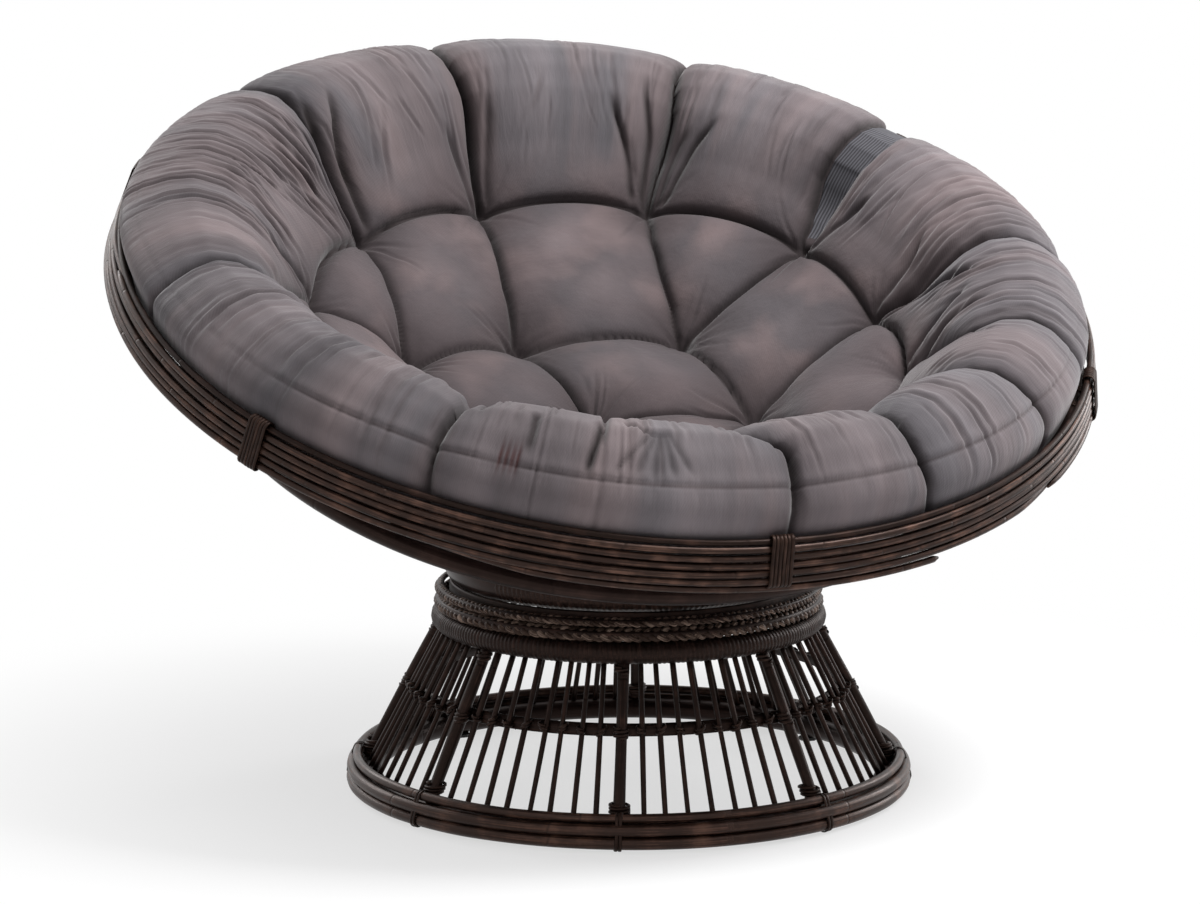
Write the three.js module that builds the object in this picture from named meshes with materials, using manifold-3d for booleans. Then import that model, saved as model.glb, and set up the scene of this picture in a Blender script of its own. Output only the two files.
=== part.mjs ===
// Round papasan chair: a tilted cane bowl with a tufted cushion, turning on a stake-sided cane base.
// Millimetres, +Z up, the chair faces -Y. The origin is on the floor under the middle of the chair.
// Angles round an axis are counted from the front (-Y) towards the sitter's left hand (+X).

import * as THREE from "three";
import { mergeVertices } from "three/addons/utils/BufferGeometryUtils.js";
import Module from "manifold-3d";

// Driving dimensions of the chair
const bowlRadius = 510; // to the outside of the lowest rim cane
const bowlTilt = THREE.MathUtils.degToRad(23.5);
const rimHeight = 481; // of the rim circle's centre above the floor
const rimSetback = 73; // of the rim circle's centre behind the swivel axis
const swivelY = -68; // the swivel axis lies ahead of the origin

// Clearances
const seatGap = 0.3; // between pieces that touch
const turnGap = 1.8; // between the turning foot ring and the braid below it
const pinGap = 0.6; // round the kingpin, so that it turns
const cushionGap = 0.6; // between the cushion and the ribs below it

// Rim: six canes side by side, lashed to a thick hoop at six places
const rimCaneCount = 6;
const rimCaneDiameter = 7.4;
const rimBandLean = THREE.MathUtils.degToRad(13.6); // the band of canes narrows upwards
const rimHoopDiameter = 20;
const rimHoopRise = 6;
const bindingCount = 6;
const bindingWidth = 23;
const bindingThickness = 1.8;
const bindingGap = 0.4;

// Dish under the cushion: ribs bent to one round curve, a hub where they meet and a hoop under them
const ribCount = 6;
const ribDiameter = 14;
const dishDepth = 188.5; // of the ribs' curve below the rim circle
const hubRadius = 48;
const hubThickness = 10;
const dishHoopDiameter = 18;
const dishHoopShare = 0.7686; // of the bowl's radius, where the ribs cross it

// Cushion
const cushionInset = 24; // from the bowl's outside to the cushion's
const cushionRadius = bowlRadius - cushionInset;
const crestHeight = 100; // of the outer roll above the rim circle, half way along each side
const crestSlump = 12; // the roll stands higher in front by this, and lower at the back
const tuftDepth = 30; // of the outer tufts below the rim circle
const seatDepth = 112; // of the seat's creases below the rim circle, at the middle
const tuftRingShare = 0.6173; // of the cushion's radius
const tuftRingRadius = tuftRingShare * cushionRadius;
const tilePuff = 28; // of each tufted tile above its creases
const tileShoulder = 58; // from a crease to where its tile is full

// Strap across the outer roll
const strapWidth = 42;
const strapThickness = 2.4;
const strapGap = 0.8;
const strapInnerWidth = 14;
const strapBedShare = 1.15; // of the strap's width that its flat bed takes
const strapBedTurn = 1; // degrees between the bed's two sides at the tuft

// Foot ring and cradle that carry the dish
const footRingDiameter = 30;
const footRingRadius = 172;
const cradleWidth = 34;
const cradleThickness = 6;
const strutDiameter = 19;
const riserRadius = 45;
const riserWall = 8;

// Swivel bearing
const plateRadius = 78;
const plateThickness = 4;
const ballDiameter = 9;
const ballCount = 12;
const ballCircleRadius = 58;
const cageWidth = 16;
const cageThickness = 3;
const kingpinRadius = 8;
const kingpinHeadRadius = 16;
const kingpinHeadHeight = 7;
const spiderWidth = 30;
const spiderThickness = 5;

// Base
const glideHeight = 3;
const glideDiameter = 20;
const glideCount = 4;
const floorHoopDiameter = 22;
const floorHoopRadius = 263;
const skirtCaneDiameter = 12;
const skirtTopCaneDiameter = 9;
const topHoopDiameter = 22;
const topHoopRadius = 189.5;
const legCount = 8;
const legDiameter = 12;
const stakeDiameter = 6;
const stakesPerBay = 8;
const weaveDiameter = 8;
const weaveSink = 1.4; // into the stakes that it is woven through
const midHoopShare = 0.57; // of the way from the floor hoop to the top hoop
const midHoopDepth = 16;
const midHoopThickness = 8;
const lowerBraidDiameter = 14;
const lowerBraidRadius = topHoopRadius + 2.5;
const upperBraidDiameter = 10;
const upperBraidRadius = topHoopRadius + 2;

// Facets
const ringSegments = 36;
const rimSegments = 48;
const bearingSegments = 24;
const halvings = 30;
const hoopSides = 8;
const caneSides = 6;
const stakeSides = 5;
const ballRows = 4;
const fullTurn = 360; // degrees
const weldDistance = 0.0001;

const colour = {
  cane: 0x44322c,
  darkCane: 0x33261f,
  hoop: 0x4a3834,
  steel: 0x2b2725,
  glide: 0x161514,
  cushion: 0x6f666a,
  strap: 0x626373,
};

const chair = new THREE.Group();
const base = new THREE.Group();
base.position.y = swivelY;
const turntable = new THREE.Group();
turntable.position.y = swivelY;
const bowl = new THREE.Group();
bowl.position.set(0, swivelY + rimSetback, rimHeight);
bowl.rotation.x = bowlTilt;
chair.add(base, turntable, bowl);

const wasm = await Module();
wasm.setup();

function add(group, name, geometry, color, roughness, metalness) {
  const material = new THREE.MeshStandardMaterial({ color, roughness, metalness });
  const mesh = new THREE.Mesh(geometry, material);
  mesh.name = name;
  group.add(mesh);
  return mesh;
}

const addCane = (group, name, geometry) => add(group, name, geometry, colour.cane, 0.55, 0);
const addDark = (group, name, geometry) => add(group, name, geometry, colour.darkCane, 0.6, 0);
const addHoop = (group, name, geometry) => add(group, name, geometry, colour.hoop, 0.45, 0);
const addSteel = (group, name, geometry) => add(group, name, geometry, colour.steel, 0.45, 0.6);

function solidOf(geometry) {
  const bare = geometry.clone();
  bare.deleteAttribute("normal");
  bare.deleteAttribute("uv");
  const welded = mergeVertices(bare, weldDistance);
  const vertProperties = new Float32Array(welded.attributes.position.array);
  const triVerts = new Uint32Array(welded.index.array);
  return new wasm.Manifold(new wasm.Mesh({ numProp: 3, vertProperties, triVerts }));
}

function geometryOf(solid) {
  const mesh = solid.getMesh();
  const geometry = new THREE.BufferGeometry();
  geometry.setAttribute("position", new THREE.BufferAttribute(new Float32Array(mesh.vertProperties), 3));
  geometry.setIndex(new THREE.BufferAttribute(new Uint32Array(mesh.triVerts), 1));
  return geometry;
}

function joined(geometries) {
  return geometryOf(geometries.map(solidOf).reduce((all, next) => all.add(next)));
}

// The corners of a regular section. Its flats face up, down and, with eight sides, left and right.
function section(across, sides) {
  const radius = across / 2 / Math.cos(Math.PI / sides);
  const turn = sides === hoopSides ? Math.PI / sides : 0;
  return Array.from({ length: sides }, (_, i) => {
    const angle = turn + (i * 2 * Math.PI) / sides;
    return new THREE.Vector2(radius * Math.cos(angle), radius * Math.sin(angle));
  });
}

// From the middle of a section to its side corners
const cornerReach = (across, sides) => Math.max(...section(across, sides).map((p) => p.x));

// A closed outline turned about the group's Z axis. A facet's middle faces the front.
function lathe(outline, segments = ringSegments) {
  const closed = [...outline, outline[0]].map((p) => p.clone());
  return new THREE.LatheGeometry(closed, segments, Math.PI / segments).rotateX(Math.PI / 2);
}

// A disc turned about the group's Z axis, given by its edge from the bottom to the top
function disc(edge, segments) {
  const points = [new THREE.Vector2(0, edge[0].y), ...edge, new THREE.Vector2(0, edge.at(-1).y)];
  return new THREE.LatheGeometry(points, segments, Math.PI / segments).rotateX(Math.PI / 2);
}

function mix(a, b, share) {
  return a + share * (b - a);
}

// Facets cut corners: the corner radius whose facets touch the wanted radius
const overFacets = (radius, segments = ringSegments) => radius / Math.cos(Math.PI / segments);

function hoop(radius, height, across, sides, segments = ringSegments) {
  const centre = new THREE.Vector2(overFacets(radius, segments), height);
  return lathe(section(across, sides).map((p) => p.add(centre)), segments);
}

function band(innerRadius, outerRadius, bottom, top, lean = 0, segments = bearingSegments) {
  const shift = lean * (top - bottom);
  return lathe([
    new THREE.Vector2(innerRadius, bottom),
    new THREE.Vector2(outerRadius, bottom),
    new THREE.Vector2(outerRadius - shift, top),
    new THREE.Vector2(innerRadius - shift, top),
  ], segments);
}

// Rim, in the bowl's frame: canes step up and in along the leaning band
const rimCaneReach = cornerReach(rimCaneDiameter, caneSides);
const rimCanePitch = rimCaneDiameter + seatGap;
const lowestCaneRadius = bowlRadius - rimCaneReach;
const bandDirection = new THREE.Vector2(-Math.sin(rimBandLean), Math.cos(rimBandLean));

function rimCaneCentre(index) {
  const lowest = new THREE.Vector2(lowestCaneRadius, rimCaneDiameter / 2);
  return lowest.addScaledVector(bandDirection, index * rimCanePitch);
}

// The bindings' inner faces at this height, which the rim hoop's outer face meets
function bindingInsideAt(height) {
  const across = rimCaneReach + bindingGap + bindingThickness;
  const rise = height - rimCaneDiameter / 2;
  return lowestCaneRadius - across / Math.cos(rimBandLean) - rise * Math.tan(rimBandLean);
}

const rimHoopFaceTop = rimHoopRise + (rimHoopDiameter / 2) * Math.tan(Math.PI / hoopSides);
const rimHoopRadius = bindingInsideAt(rimHoopFaceTop) - seatGap - rimHoopDiameter / 2;

function buildRim() {
  addHoop(bowl, "rim_hoop", hoop(rimHoopRadius, rimHoopRise, rimHoopDiameter, hoopSides, rimSegments));
  for (let i = 0; i < rimCaneCount; i += 1) {
    const centre = rimCaneCentre(i);
    centre.x = overFacets(centre.x, rimSegments);
    const corners = section(rimCaneDiameter, caneSides);
    const outline = corners.map((p) => p.rotateAround(new THREE.Vector2(), rimBandLean).add(centre));
    addCane(bowl, `rim_cane_${i + 1}`, lathe(outline, rimSegments));
  }
}

// A flat oval round the band of canes, as a closed path
function bindingOutline(path, offset) {
  const reach = rimCaneReach + offset;
  const corner = reach / 3;
  const low = -rimCaneDiameter / 2 - offset;
  const high = (rimCaneCount - 1) * rimCanePitch - low;
  const corners = [
    [-reach + corner, low], [reach - corner, low], [reach, low + corner], [reach, high - corner],
    [reach - corner, high], [-reach + corner, high], [-reach, high - corner], [-reach, low + corner],
  ];
  const foot = rimCaneCentre(0);
  const points = corners.map(([across, along]) => {
    const p = new THREE.Vector2(across, along).rotateAround(new THREE.Vector2(), rimBandLean);
    return p.add(foot);
  });
  return path.setFromPoints(points);
}

function buildBindings() {
  for (let i = 0; i < bindingCount; i += 1) {
    const shape = bindingOutline(new THREE.Shape(), bindingGap + bindingThickness);
    shape.holes.push(bindingOutline(new THREE.Path(), bindingGap));
    const sleeve = new THREE.ExtrudeGeometry(shape, { depth: bindingWidth, bevelEnabled: false });
    sleeve.translate(0, 0, -bindingWidth / 2).rotateX(Math.PI / 2).rotateZ(-Math.PI / 2);
    addCane(bowl, `rim_binding_${i + 1}`, sleeve.rotateZ((i * 2 * Math.PI) / bindingCount));
  }
}

// Dish: the ribs' curve runs through the rim hoop's centre and is deepest on the bowl's axis
const dishDrop = dishDepth + rimHoopRise;
const dishSphereRadius = (rimHoopRadius ** 2 + dishDrop ** 2) / (2 * dishDrop);
const dishCentreHeight = dishSphereRadius - dishDepth;

class RibCurve extends THREE.Curve {
  constructor(startRadius, endRadius) {
    super();
    this.start = Math.asin(startRadius / dishSphereRadius);
    this.end = Math.asin(endRadius / dishSphereRadius);
  }
  getPoint(share) {
    const angle = this.start + share * (this.end - this.start);
    const radius = dishSphereRadius * Math.sin(angle);
    return new THREE.Vector3(0, -radius, dishCentreHeight - dishSphereRadius * Math.cos(angle));
  }
}

const ribSteps = 12;
const ribStart = hubRadius + 2 * seatGap;
const ribEndAngle = Math.asin(rimHoopRadius / dishSphereRadius)
  - (rimHoopDiameter / 2 + 2 * seatGap) / dishSphereRadius;
const ribEnd = dishSphereRadius * Math.sin(ribEndAngle);
const ribAngle = (index) => (index * 2 * Math.PI) / ribCount;

function rib(index, across) {
  return tube(new RibCurve(ribStart, ribEnd), across, caneSides, ribSteps).rotateZ(ribAngle(index));
}

function hub(extra = 0) {
  const height = dishSphereRadius - Math.sqrt(dishSphereRadius ** 2 - hubRadius ** 2) - dishDepth;
  const half = hubThickness / 2 + extra;
  const radius = hubRadius + extra;
  return disc([new THREE.Vector2(radius, height - half), new THREE.Vector2(radius, height + half)],
    ringSegments / 2);
}

function buildDish() {
  for (let i = 0; i < ribCount; i += 1) {
    addHoop(bowl, `dish_rib_${i + 1}`, rib(i, ribDiameter));
  }
  addHoop(bowl, "dish_hub", hub());
  const slope = Math.asin((bowlRadius * dishHoopShare) / dishSphereRadius);
  const out = dishSphereRadius + (ribDiameter + dishHoopDiameter) / 2 + seatGap;
  const height = dishCentreHeight - out * Math.cos(slope);
  const centre = new THREE.Vector2(overFacets(out * Math.sin(slope)), height);
  const corners = section(dishHoopDiameter, caneSides);
  const outline = corners.map((p) => p.rotateAround(new THREE.Vector2(), slope).add(centre));
  addHoop(bowl, "dish_hoop", lathe(outline));
}

// From the bowl's frame to the frame of the swivel axis
const bowlFrame = new THREE.Matrix4().makeRotationX(bowlTilt).setPosition(0, rimSetback, rimHeight);

// Where a rib crosses over the foot ring, by halving
function ribOverFootRing(index) {
  const at = (radius) => {
    const height = dishCentreHeight - Math.sqrt(dishSphereRadius ** 2 - radius ** 2);
    const p = new THREE.Vector3(0, -radius, height);
    return p.applyAxisAngle(new THREE.Vector3(0, 0, 1), ribAngle(index)).applyMatrix4(bowlFrame);
  };
  let near = 0;
  let far = ribEnd;
  for (let i = 0; i < halvings; i += 1) {
    const middle = (near + far) / 2;
    const p = at(middle);
    if (Math.hypot(p.x, p.y) > footRingRadius) {
      far = middle;
    } else {
      near = middle;
    }
  }
  return at(near);
}

// The front rib lies on the foot ring, which sets the ring's height
const footRingTop = ribOverFootRing(0).z - ribDiameter / 2 - 2 * seatGap;
const footRingHeight = footRingTop - footRingDiameter / 2;
const cradleBottom = footRingHeight - cradleThickness / 2;

// Base: hoops up from the floor, and hoops down from the foot ring that turns over them
const floorHoopHeight = glideHeight + seatGap + floorHoopDiameter / 2;
const floorHoopTop = floorHoopHeight + floorHoopDiameter / 2;
const upperBraidHeight = footRingHeight - footRingDiameter / 2 - turnGap - upperBraidDiameter / 2;
const lowerBraidHeight = upperBraidHeight - (lowerBraidDiameter + upperBraidDiameter) / 2 - seatGap;
const topHoopHeight = lowerBraidHeight - (lowerBraidDiameter + topHoopDiameter) / 2 - seatGap;
const topHoopBottom = topHoopHeight - topHoopDiameter / 2;

function buildBaseHoops() {
  addHoop(base, "floor_hoop", hoop(floorHoopRadius, floorHoopHeight, floorHoopDiameter, hoopSides));
  const skirtInside = floorHoopRadius + floorHoopDiameter / 2 + seatGap;
  const skirtRadius = skirtInside + cornerReach(skirtCaneDiameter, caneSides);
  const lowerHeight = glideHeight + seatGap + skirtCaneDiameter / 2;
  const upperHeight = lowerHeight + skirtCaneDiameter + seatGap;
  const topHeight = upperHeight + (skirtCaneDiameter + skirtTopCaneDiameter) / 2 + seatGap;
  const legFace = legRadiusAt(topHeight - skirtTopCaneDiameter / 2) + legDiameter / 2;
  const topRadius = legFace + seatGap + cornerReach(skirtTopCaneDiameter, caneSides);
  addCane(base, "skirt_cane_lower", hoop(skirtRadius, lowerHeight, skirtCaneDiameter, caneSides));
  addCane(base, "skirt_cane_upper", hoop(skirtRadius, upperHeight, skirtCaneDiameter, caneSides));
  addCane(base, "skirt_cane_top", hoop(topRadius, topHeight, skirtTopCaneDiameter, caneSides));
  addHoop(base, "top_hoop", hoop(topHoopRadius, topHoopHeight, topHoopDiameter, hoopSides));
  addDark(base, "braid_lower", hoop(lowerBraidRadius, lowerBraidHeight, lowerBraidDiameter, hoopSides));
  addDark(base, "braid_upper", hoop(upperBraidRadius, upperBraidHeight, upperBraidDiameter, caneSides));
}

// Base: legs and stakes lean in from the floor hoop's top to the top hoop's bottom
const uprightBottom = floorHoopTop + seatGap;
const uprightTop = topHoopBottom - seatGap;
const midHoopHeight = mix(uprightBottom, uprightTop, midHoopShare);
const uprightLean = (floorHoopRadius - topHoopRadius) / (uprightTop - uprightBottom);
const legOffset = (legDiameter - stakeDiameter) / 2; // legs and stakes are flush on the inside
const bayAngle = (2 * Math.PI) / legCount;
const stakeAngle = bayAngle / (stakesPerBay + 1);

function stakeRadiusAt(height) {
  return floorHoopRadius - uprightLean * (height - uprightBottom);
}

function legRadiusAt(height) {
  return stakeRadiusAt(height) + legOffset;
}

// A leaning rod with level ends, standing at the front, then turned to its angle
function upright(radius, diameter, sides, angle) {
  const height = uprightTop - uprightBottom;
  const rod = new THREE.CylinderGeometry(diameter / 2, diameter / 2, height, sides);
  rod.rotateX(Math.PI / 2).rotateZ(Math.PI / sides).translate(0, 0, height / 2);
  rod.applyMatrix4(new THREE.Matrix4().makeShear(0, 0, 0, 0, 0, uprightLean));
  return rod.translate(0, -radius, uprightBottom).rotateZ(angle);
}

class Arc extends THREE.Curve {
  constructor(radius, height, start, end) {
    super();
    Object.assign(this, { radius, height, start, end });
  }
  getPoint(share) {
    const angle = this.start + share * (this.end - this.start);
    return new THREE.Vector3(this.radius * Math.sin(angle), -this.radius * Math.cos(angle), this.height);
  }
}

function tube(path, across, sides, steps) {
  const shape = new THREE.Shape(section(across, sides));
  return new THREE.ExtrudeGeometry(shape, { steps, bevelEnabled: false, extrudePath: path });
}

function buildBays() {
  const weaveRadius = stakeRadiusAt(midHoopHeight) + (stakeDiameter + weaveDiameter) / 2 - weaveSink;
  const overhang = stakeDiameter / 2 / weaveRadius;
  for (let bay = 0; bay < legCount; bay += 1) {
    const legAngle = (bay + 0.5) * bayAngle;
    const leg = upright(floorHoopRadius + legOffset, legDiameter, hoopSides, legAngle);
    addDark(base, `leg_${bay + 1}`, leg);
    const angles = Array.from({ length: stakesPerBay }, (_, i) => legAngle + (i + 1) * stakeAngle);
    const stakes = angles.map((angle) => upright(floorHoopRadius, stakeDiameter, stakeSides, angle));
    const arc = new Arc(weaveRadius, midHoopHeight, angles[0] - overhang, angles.at(-1) + overhang);
    const weave = tube(arc, weaveDiameter, caneSides, stakesPerBay / 2);
    addDark(base, `stake_panel_${bay + 1}`, joined([weave, ...stakes]));
  }
}

function buildMidHoop() {
  const bottom = midHoopHeight - midHoopDepth / 2;
  const outer = stakeRadiusAt(bottom) - stakeDiameter / 2 - seatGap;
  const inner = outer - midHoopThickness;
  addHoop(base, "mid_hoop", band(inner, outer, bottom, bottom + midHoopDepth, uprightLean,
    ringSegments));
}

function buildGlides() {
  for (let i = 0; i < glideCount; i += 1) {
    const legAngle = ((i * legCount) / glideCount + 0.5) * bayAngle;
    const glide = new THREE.CylinderGeometry(glideDiameter / 2, glideDiameter / 2, glideHeight, hoopSides);
    glide.rotateX(Math.PI / 2).translate(0, -floorHoopRadius, glideHeight / 2).rotateZ(legAngle);
    add(base, `glide_${i + 1}`, glide, colour.glide, 0.8, 0);
  }
}

// A flat cross whose four ends meet the inside of a hoop, with a round hole in the middle
function cross(hoopRadius, width, thickness, holeRadius) {
  const halfFacet = Math.PI / ringSegments;
  const facetReach = hoopRadius - seatGap - (width / 2) * Math.sin(halfFacet);
  const reach = facetReach / Math.cos(halfFacet);
  const half = width / 2;
  const shape = new THREE.Shape();
  const corners = [[half, reach], [-half, reach], [-half, half]];
  const turned = (x, y, quarter) => new THREE.Vector2(x, y).rotateAround(new THREE.Vector2(), quarter);
  for (let i = 0; i < 4; i += 1) {
    for (const [x, y] of corners) {
      const p = turned(x, y, (i * Math.PI) / 2);
      if (shape.curves.length === 0 && shape.currentPoint.length() === 0) {
        shape.moveTo(p.x, p.y);
      } else {
        shape.lineTo(p.x, p.y);
      }
    }
  }
  const hole = new THREE.Path().absarc(0, 0, holeRadius, 0, 2 * Math.PI, true);
  shape.holes.push(hole);
  const settings = { depth: thickness, bevelEnabled: false, curveSegments: caneSides * 2 };
  return new THREE.ExtrudeGeometry(shape, settings);
}

// Swivel stack: the lower plate's arms meet the top hoop, and the upper plate carries the cradle
const spiderBottom = topHoopHeight - spiderThickness / 2;
const lowerPlateTop = spiderBottom + spiderThickness + plateThickness;
const ballBottom = lowerPlateTop + seatGap;
const upperPlateBottom = ballBottom + ballDiameter + seatGap;
const upperPlateTop = upperPlateBottom + plateThickness;
const pinHoleRadius = kingpinRadius + pinGap;

function buildSwivel() {
  const arms = cross(topHoopRadius - topHoopDiameter / 2, spiderWidth, spiderThickness, pinHoleRadius);
  arms.translate(0, 0, spiderBottom);
  const lowerPlate = band(pinHoleRadius, plateRadius, spiderBottom, lowerPlateTop);
  addSteel(base, "bearing_plate_lower", joined([arms, lowerPlate]));
  const upperPlate = band(pinHoleRadius, plateRadius, upperPlateBottom, upperPlateTop);
  addSteel(turntable, "bearing_plate_upper", upperPlate);

  const ballHeight = ballBottom + ballDiameter / 2;
  const cageInside = ballCircleRadius - cageWidth / 2;
  const cageBottom = ballHeight - cageThickness / 2;
  const cage = band(cageInside, cageInside + cageWidth, cageBottom, cageBottom + cageThickness);
  const balls = Array.from({ length: ballCount }, (_, i) => {
    const ball = new THREE.SphereGeometry(ballDiameter / 2, caneSides, ballRows).rotateX(Math.PI / 2);
    return ball.translate(0, -ballCircleRadius, ballHeight).rotateZ((i * 2 * Math.PI) / ballCount);
  });
  addSteel(turntable, "ball_ring", joined([cage, ...balls]));

  const nutTop = spiderBottom - seatGap;
  const headBottom = upperPlateTop + seatGap;
  const headTop = headBottom + kingpinHeadHeight;
  const kingpin = disc([
    new THREE.Vector2(kingpinHeadRadius, nutTop - kingpinHeadHeight),
    new THREE.Vector2(kingpinHeadRadius, nutTop),
    new THREE.Vector2(kingpinRadius, nutTop),
    new THREE.Vector2(kingpinRadius, headBottom),
    new THREE.Vector2(kingpinHeadRadius, headBottom),
    new THREE.Vector2(kingpinHeadRadius, headTop),
  ], caneSides * 2);
  addSteel(turntable, "kingpin", kingpin);
}

function strut(x, y, top, cutter) {
  const bottom = footRingTop + seatGap;
  const rod = new THREE.CylinderGeometry(strutDiameter / 2, strutDiameter / 2, top - bottom, hoopSides);
  rod.rotateX(Math.PI / 2).translate(x, y, (top + bottom) / 2);
  return geometryOf(solidOf(rod).subtract(solidOf(cutter.applyMatrix4(bowlFrame))));
}

function buildCradle() {
  addHoop(turntable, "foot_ring", hoop(footRingRadius, footRingHeight, footRingDiameter, hoopSides));
  const inside = footRingRadius - footRingDiameter / 2;
  const arms = cross(inside, cradleWidth, cradleThickness, kingpinHeadRadius);
  arms.translate(0, 0, cradleBottom);
  const riserBottom = upperPlateTop + seatGap;
  const riser = band(riserRadius - riserWall, riserRadius, riserBottom, cradleBottom + cradleThickness);
  addSteel(turntable, "cradle", joined([arms, riser]));
  const sides = { bowl_strut_left: 1, bowl_strut_right: ribCount - 1 };
  for (const [name, index] of Object.entries(sides)) {
    const seat = ribOverFootRing(index);
    addHoop(turntable, name, strut(seat.x, seat.y, seat.z, rib(index, ribDiameter + 2 * seatGap)));
  }
  const hubMiddle = new THREE.Vector3(0, 0, -dishDepth).applyMatrix4(bowlFrame);
  addHoop(turntable, "bowl_strut_back", strut(0, footRingRadius, hubMiddle.z, hub(seatGap)));
}

// Cushion creases: each runs from a tuft out over the roll, given by its angle at the tuft and at the rim,
// in degrees from the front, by the inner tuft that it runs on to over the seat, and by how deep it is as
// a share of the deepest. The strap lies in one.
const creases = [
  { tuft: -173, rim: -175, runsTo: "back", depthShare: 1 },
  { tuft: -139, rim: -143, runsTo: "rightBack", depthShare: 1 },
  { tuft: -107, rim: -86, runsTo: "rightBack", depthShare: 0.85 },
  { tuft: -72, rim: -66, runsTo: "right", depthShare: 0.35 },
  { tuft: -41, rim: -39, runsTo: "right", depthShare: 1 },
  { tuft: -20, rim: -20, runsTo: "rightFront", depthShare: 0.65 },
  { tuft: 2, rim: 2, runsTo: "rightFront", depthShare: 1 },
  { tuft: 22, rim: 20, runsTo: "leftFront", depthShare: 0.9 },
  { tuft: 45, rim: 47, runsTo: "left", depthShare: 0.6 },
  { tuft: 68, rim: 73, depthShare: 0.85 },
  { tuft: 89, rim: 91, runsTo: "left", depthShare: 0.9 },
  { tuft: 117, rim: 119, runsTo: "leftBack", depthShare: 1, strap: true },
  { tuft: 151, rim: 152, runsTo: "leftBack", depthShare: 1 },
];

// Outer roll, from the tufts over the crest to the foot: radius as a share of the cushion's radius, then
// height as a share of the rise from the tufts to the crest, at the middle of a roll and in a crease
const rollShares = [
  { radius: 0.683, creaseRadius: 0.683, crown: 0.52, crease: 0.16 },
  { radius: 0.742, creaseRadius: 0.742, crown: 0.8, crease: 0.45 },
  { radius: 0.812, creaseRadius: 0.808, crown: 0.96, crease: 0.7 },
  { radius: 0.882, creaseRadius: 0.872, crown: 1, crease: 0.82 },
  { radius: 0.947, creaseRadius: 0.932, crown: 0.925, crease: 0.79 },
  { radius: 0.987, creaseRadius: 0.968, crown: 0.775, crease: 0.69 },
  { radius: 1, creaseRadius: 0.976, crown: 0.585, crease: 0.56 },
  { radius: 0.992, creaseRadius: 0.978, crown: 0.462, crease: 0.462 },
];
const seatRingShares = [0.13, 0.26, 0.38, 0.5, 0.61, 0.71, 0.8, 0.88, 0.95, 1]; // of the tufts' ring
const spokeShares = [0.2, 0.5, 0.8]; // of the way from one crease to the next
const edgeShares = { radius: 0.966, height: 0.425 }; // the edge under the foot, in the roll's shares
const undersideShares = [0.926, 0.66, 0.33]; // of the cushion's radius

// Tufts inside the ring, as shares of the ring's radius: to the sitter's left, and to the front
const innerTufts = {
  rightBack: { left: -0.617, front: -0.237 },
  back: { left: -0.13, front: -0.333, toMiddle: true },
  leftBack: { left: 0.42, front: -0.283 },
  left: { left: 0.493, front: 0.207, toMiddle: true },
  leftFront: { left: 0.2, front: 0.53 },
  rightFront: { left: -0.24, front: 0.5, toMiddle: true },
  right: { left: -0.5, front: 0.21, toMiddle: true },
};
const middleTuft = { left: -0.017, front: 0.12 };

function onPlane(angle, radius) {
  return new THREE.Vector2(radius * Math.sin(angle), radius * Math.cos(angle));
}

// Straight creases over the seat: round the inner tufts, on from the roll's creases, and in to the middle
function seatCreaseLines() {
  const toPoint = (share) => new THREE.Vector2(share.left, share.front).multiplyScalar(tuftRingRadius);
  const inner = Object.values(innerTufts);
  const ring = inner.map((tuft, i) => [toPoint(tuft), toPoint(inner[(i + 1) % inner.length])]);
  const spokes = creases.filter((crease) => crease.runsTo).map((crease) => [
    onPlane(THREE.MathUtils.degToRad(crease.tuft), tuftRingRadius), toPoint(innerTufts[crease.runsTo])]);
  const centre = inner.filter((tuft) => tuft.toMiddle).map((tuft) => [toPoint(tuft), toPoint(middleTuft)]);
  return [...ring, ...spokes, ...centre].map(([a, b]) => new THREE.Line3(
    new THREE.Vector3(a.x, a.y, 0), new THREE.Vector3(b.x, b.y, 0)));
}

const seatLines = seatCreaseLines();

// How full a tile is at this distance from its nearest crease
function fullness(distance) {
  const short = 1 - Math.min(distance / tileShoulder, 1);
  return 1 - short * short;
}

function seatHeight(p) {
  const here = new THREE.Vector3(p.x, p.y, 0);
  const nearest = new THREE.Vector3();
  const distances = seatLines.map((line) => line.closestPointToPoint(here, true, nearest).distanceTo(here));
  const radius = p.length();
  const distance = Math.min(...distances, tuftRingRadius - radius);
  const floor = -seatDepth + (seatDepth - tuftDepth) * (radius / tuftRingRadius) ** 2;
  return floor + tilePuff * fullness(Math.max(distance, 0));
}

// A spoke has its angle at the tufts and at the rim, and its fullness from 0 in a crease to 1 in a roll
function cushionSpokes() {
  const spokes = [];
  creases.forEach((crease, i) => {
    const next = creases[(i + 1) % creases.length];
    const turn = i + 1 === creases.length ? fullTurn : 0;
    const between = (share) => ({
      tuft: crease.tuft + share * (next.tuft + turn - crease.tuft),
      rim: crease.rim + share * (next.rim + turn - crease.rim),
    });
    const strapHalf = THREE.MathUtils.radToDeg((strapBedShare * strapWidth) / 2 / cushionRadius);
    const inCrease = { full: 0, depth: crease.depthShare };
    if (crease.strap) {
      spokes.push({ ...inCrease, tuft: crease.tuft, rim: crease.rim - strapHalf });
      spokes.push({ ...inCrease, tuft: crease.tuft + strapBedTurn, rim: crease.rim + strapHalf });
    } else {
      spokes.push({ ...inCrease, tuft: crease.tuft, rim: crease.rim });
    }
    for (const share of spokeShares) {
      const nearer = Math.min(share, 1 - share) * 2;
      const depth = share < 0.5 ? crease.depthShare : next.depthShare;
      spokes.push({ ...between(share), full: 1 - (1 - nearer) ** 3, depth });
    }
  });
  return spokes;
}

function crest(angle) {
  return crestHeight + crestSlump * Math.cos(angle) + tuftDepth;
}

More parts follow.
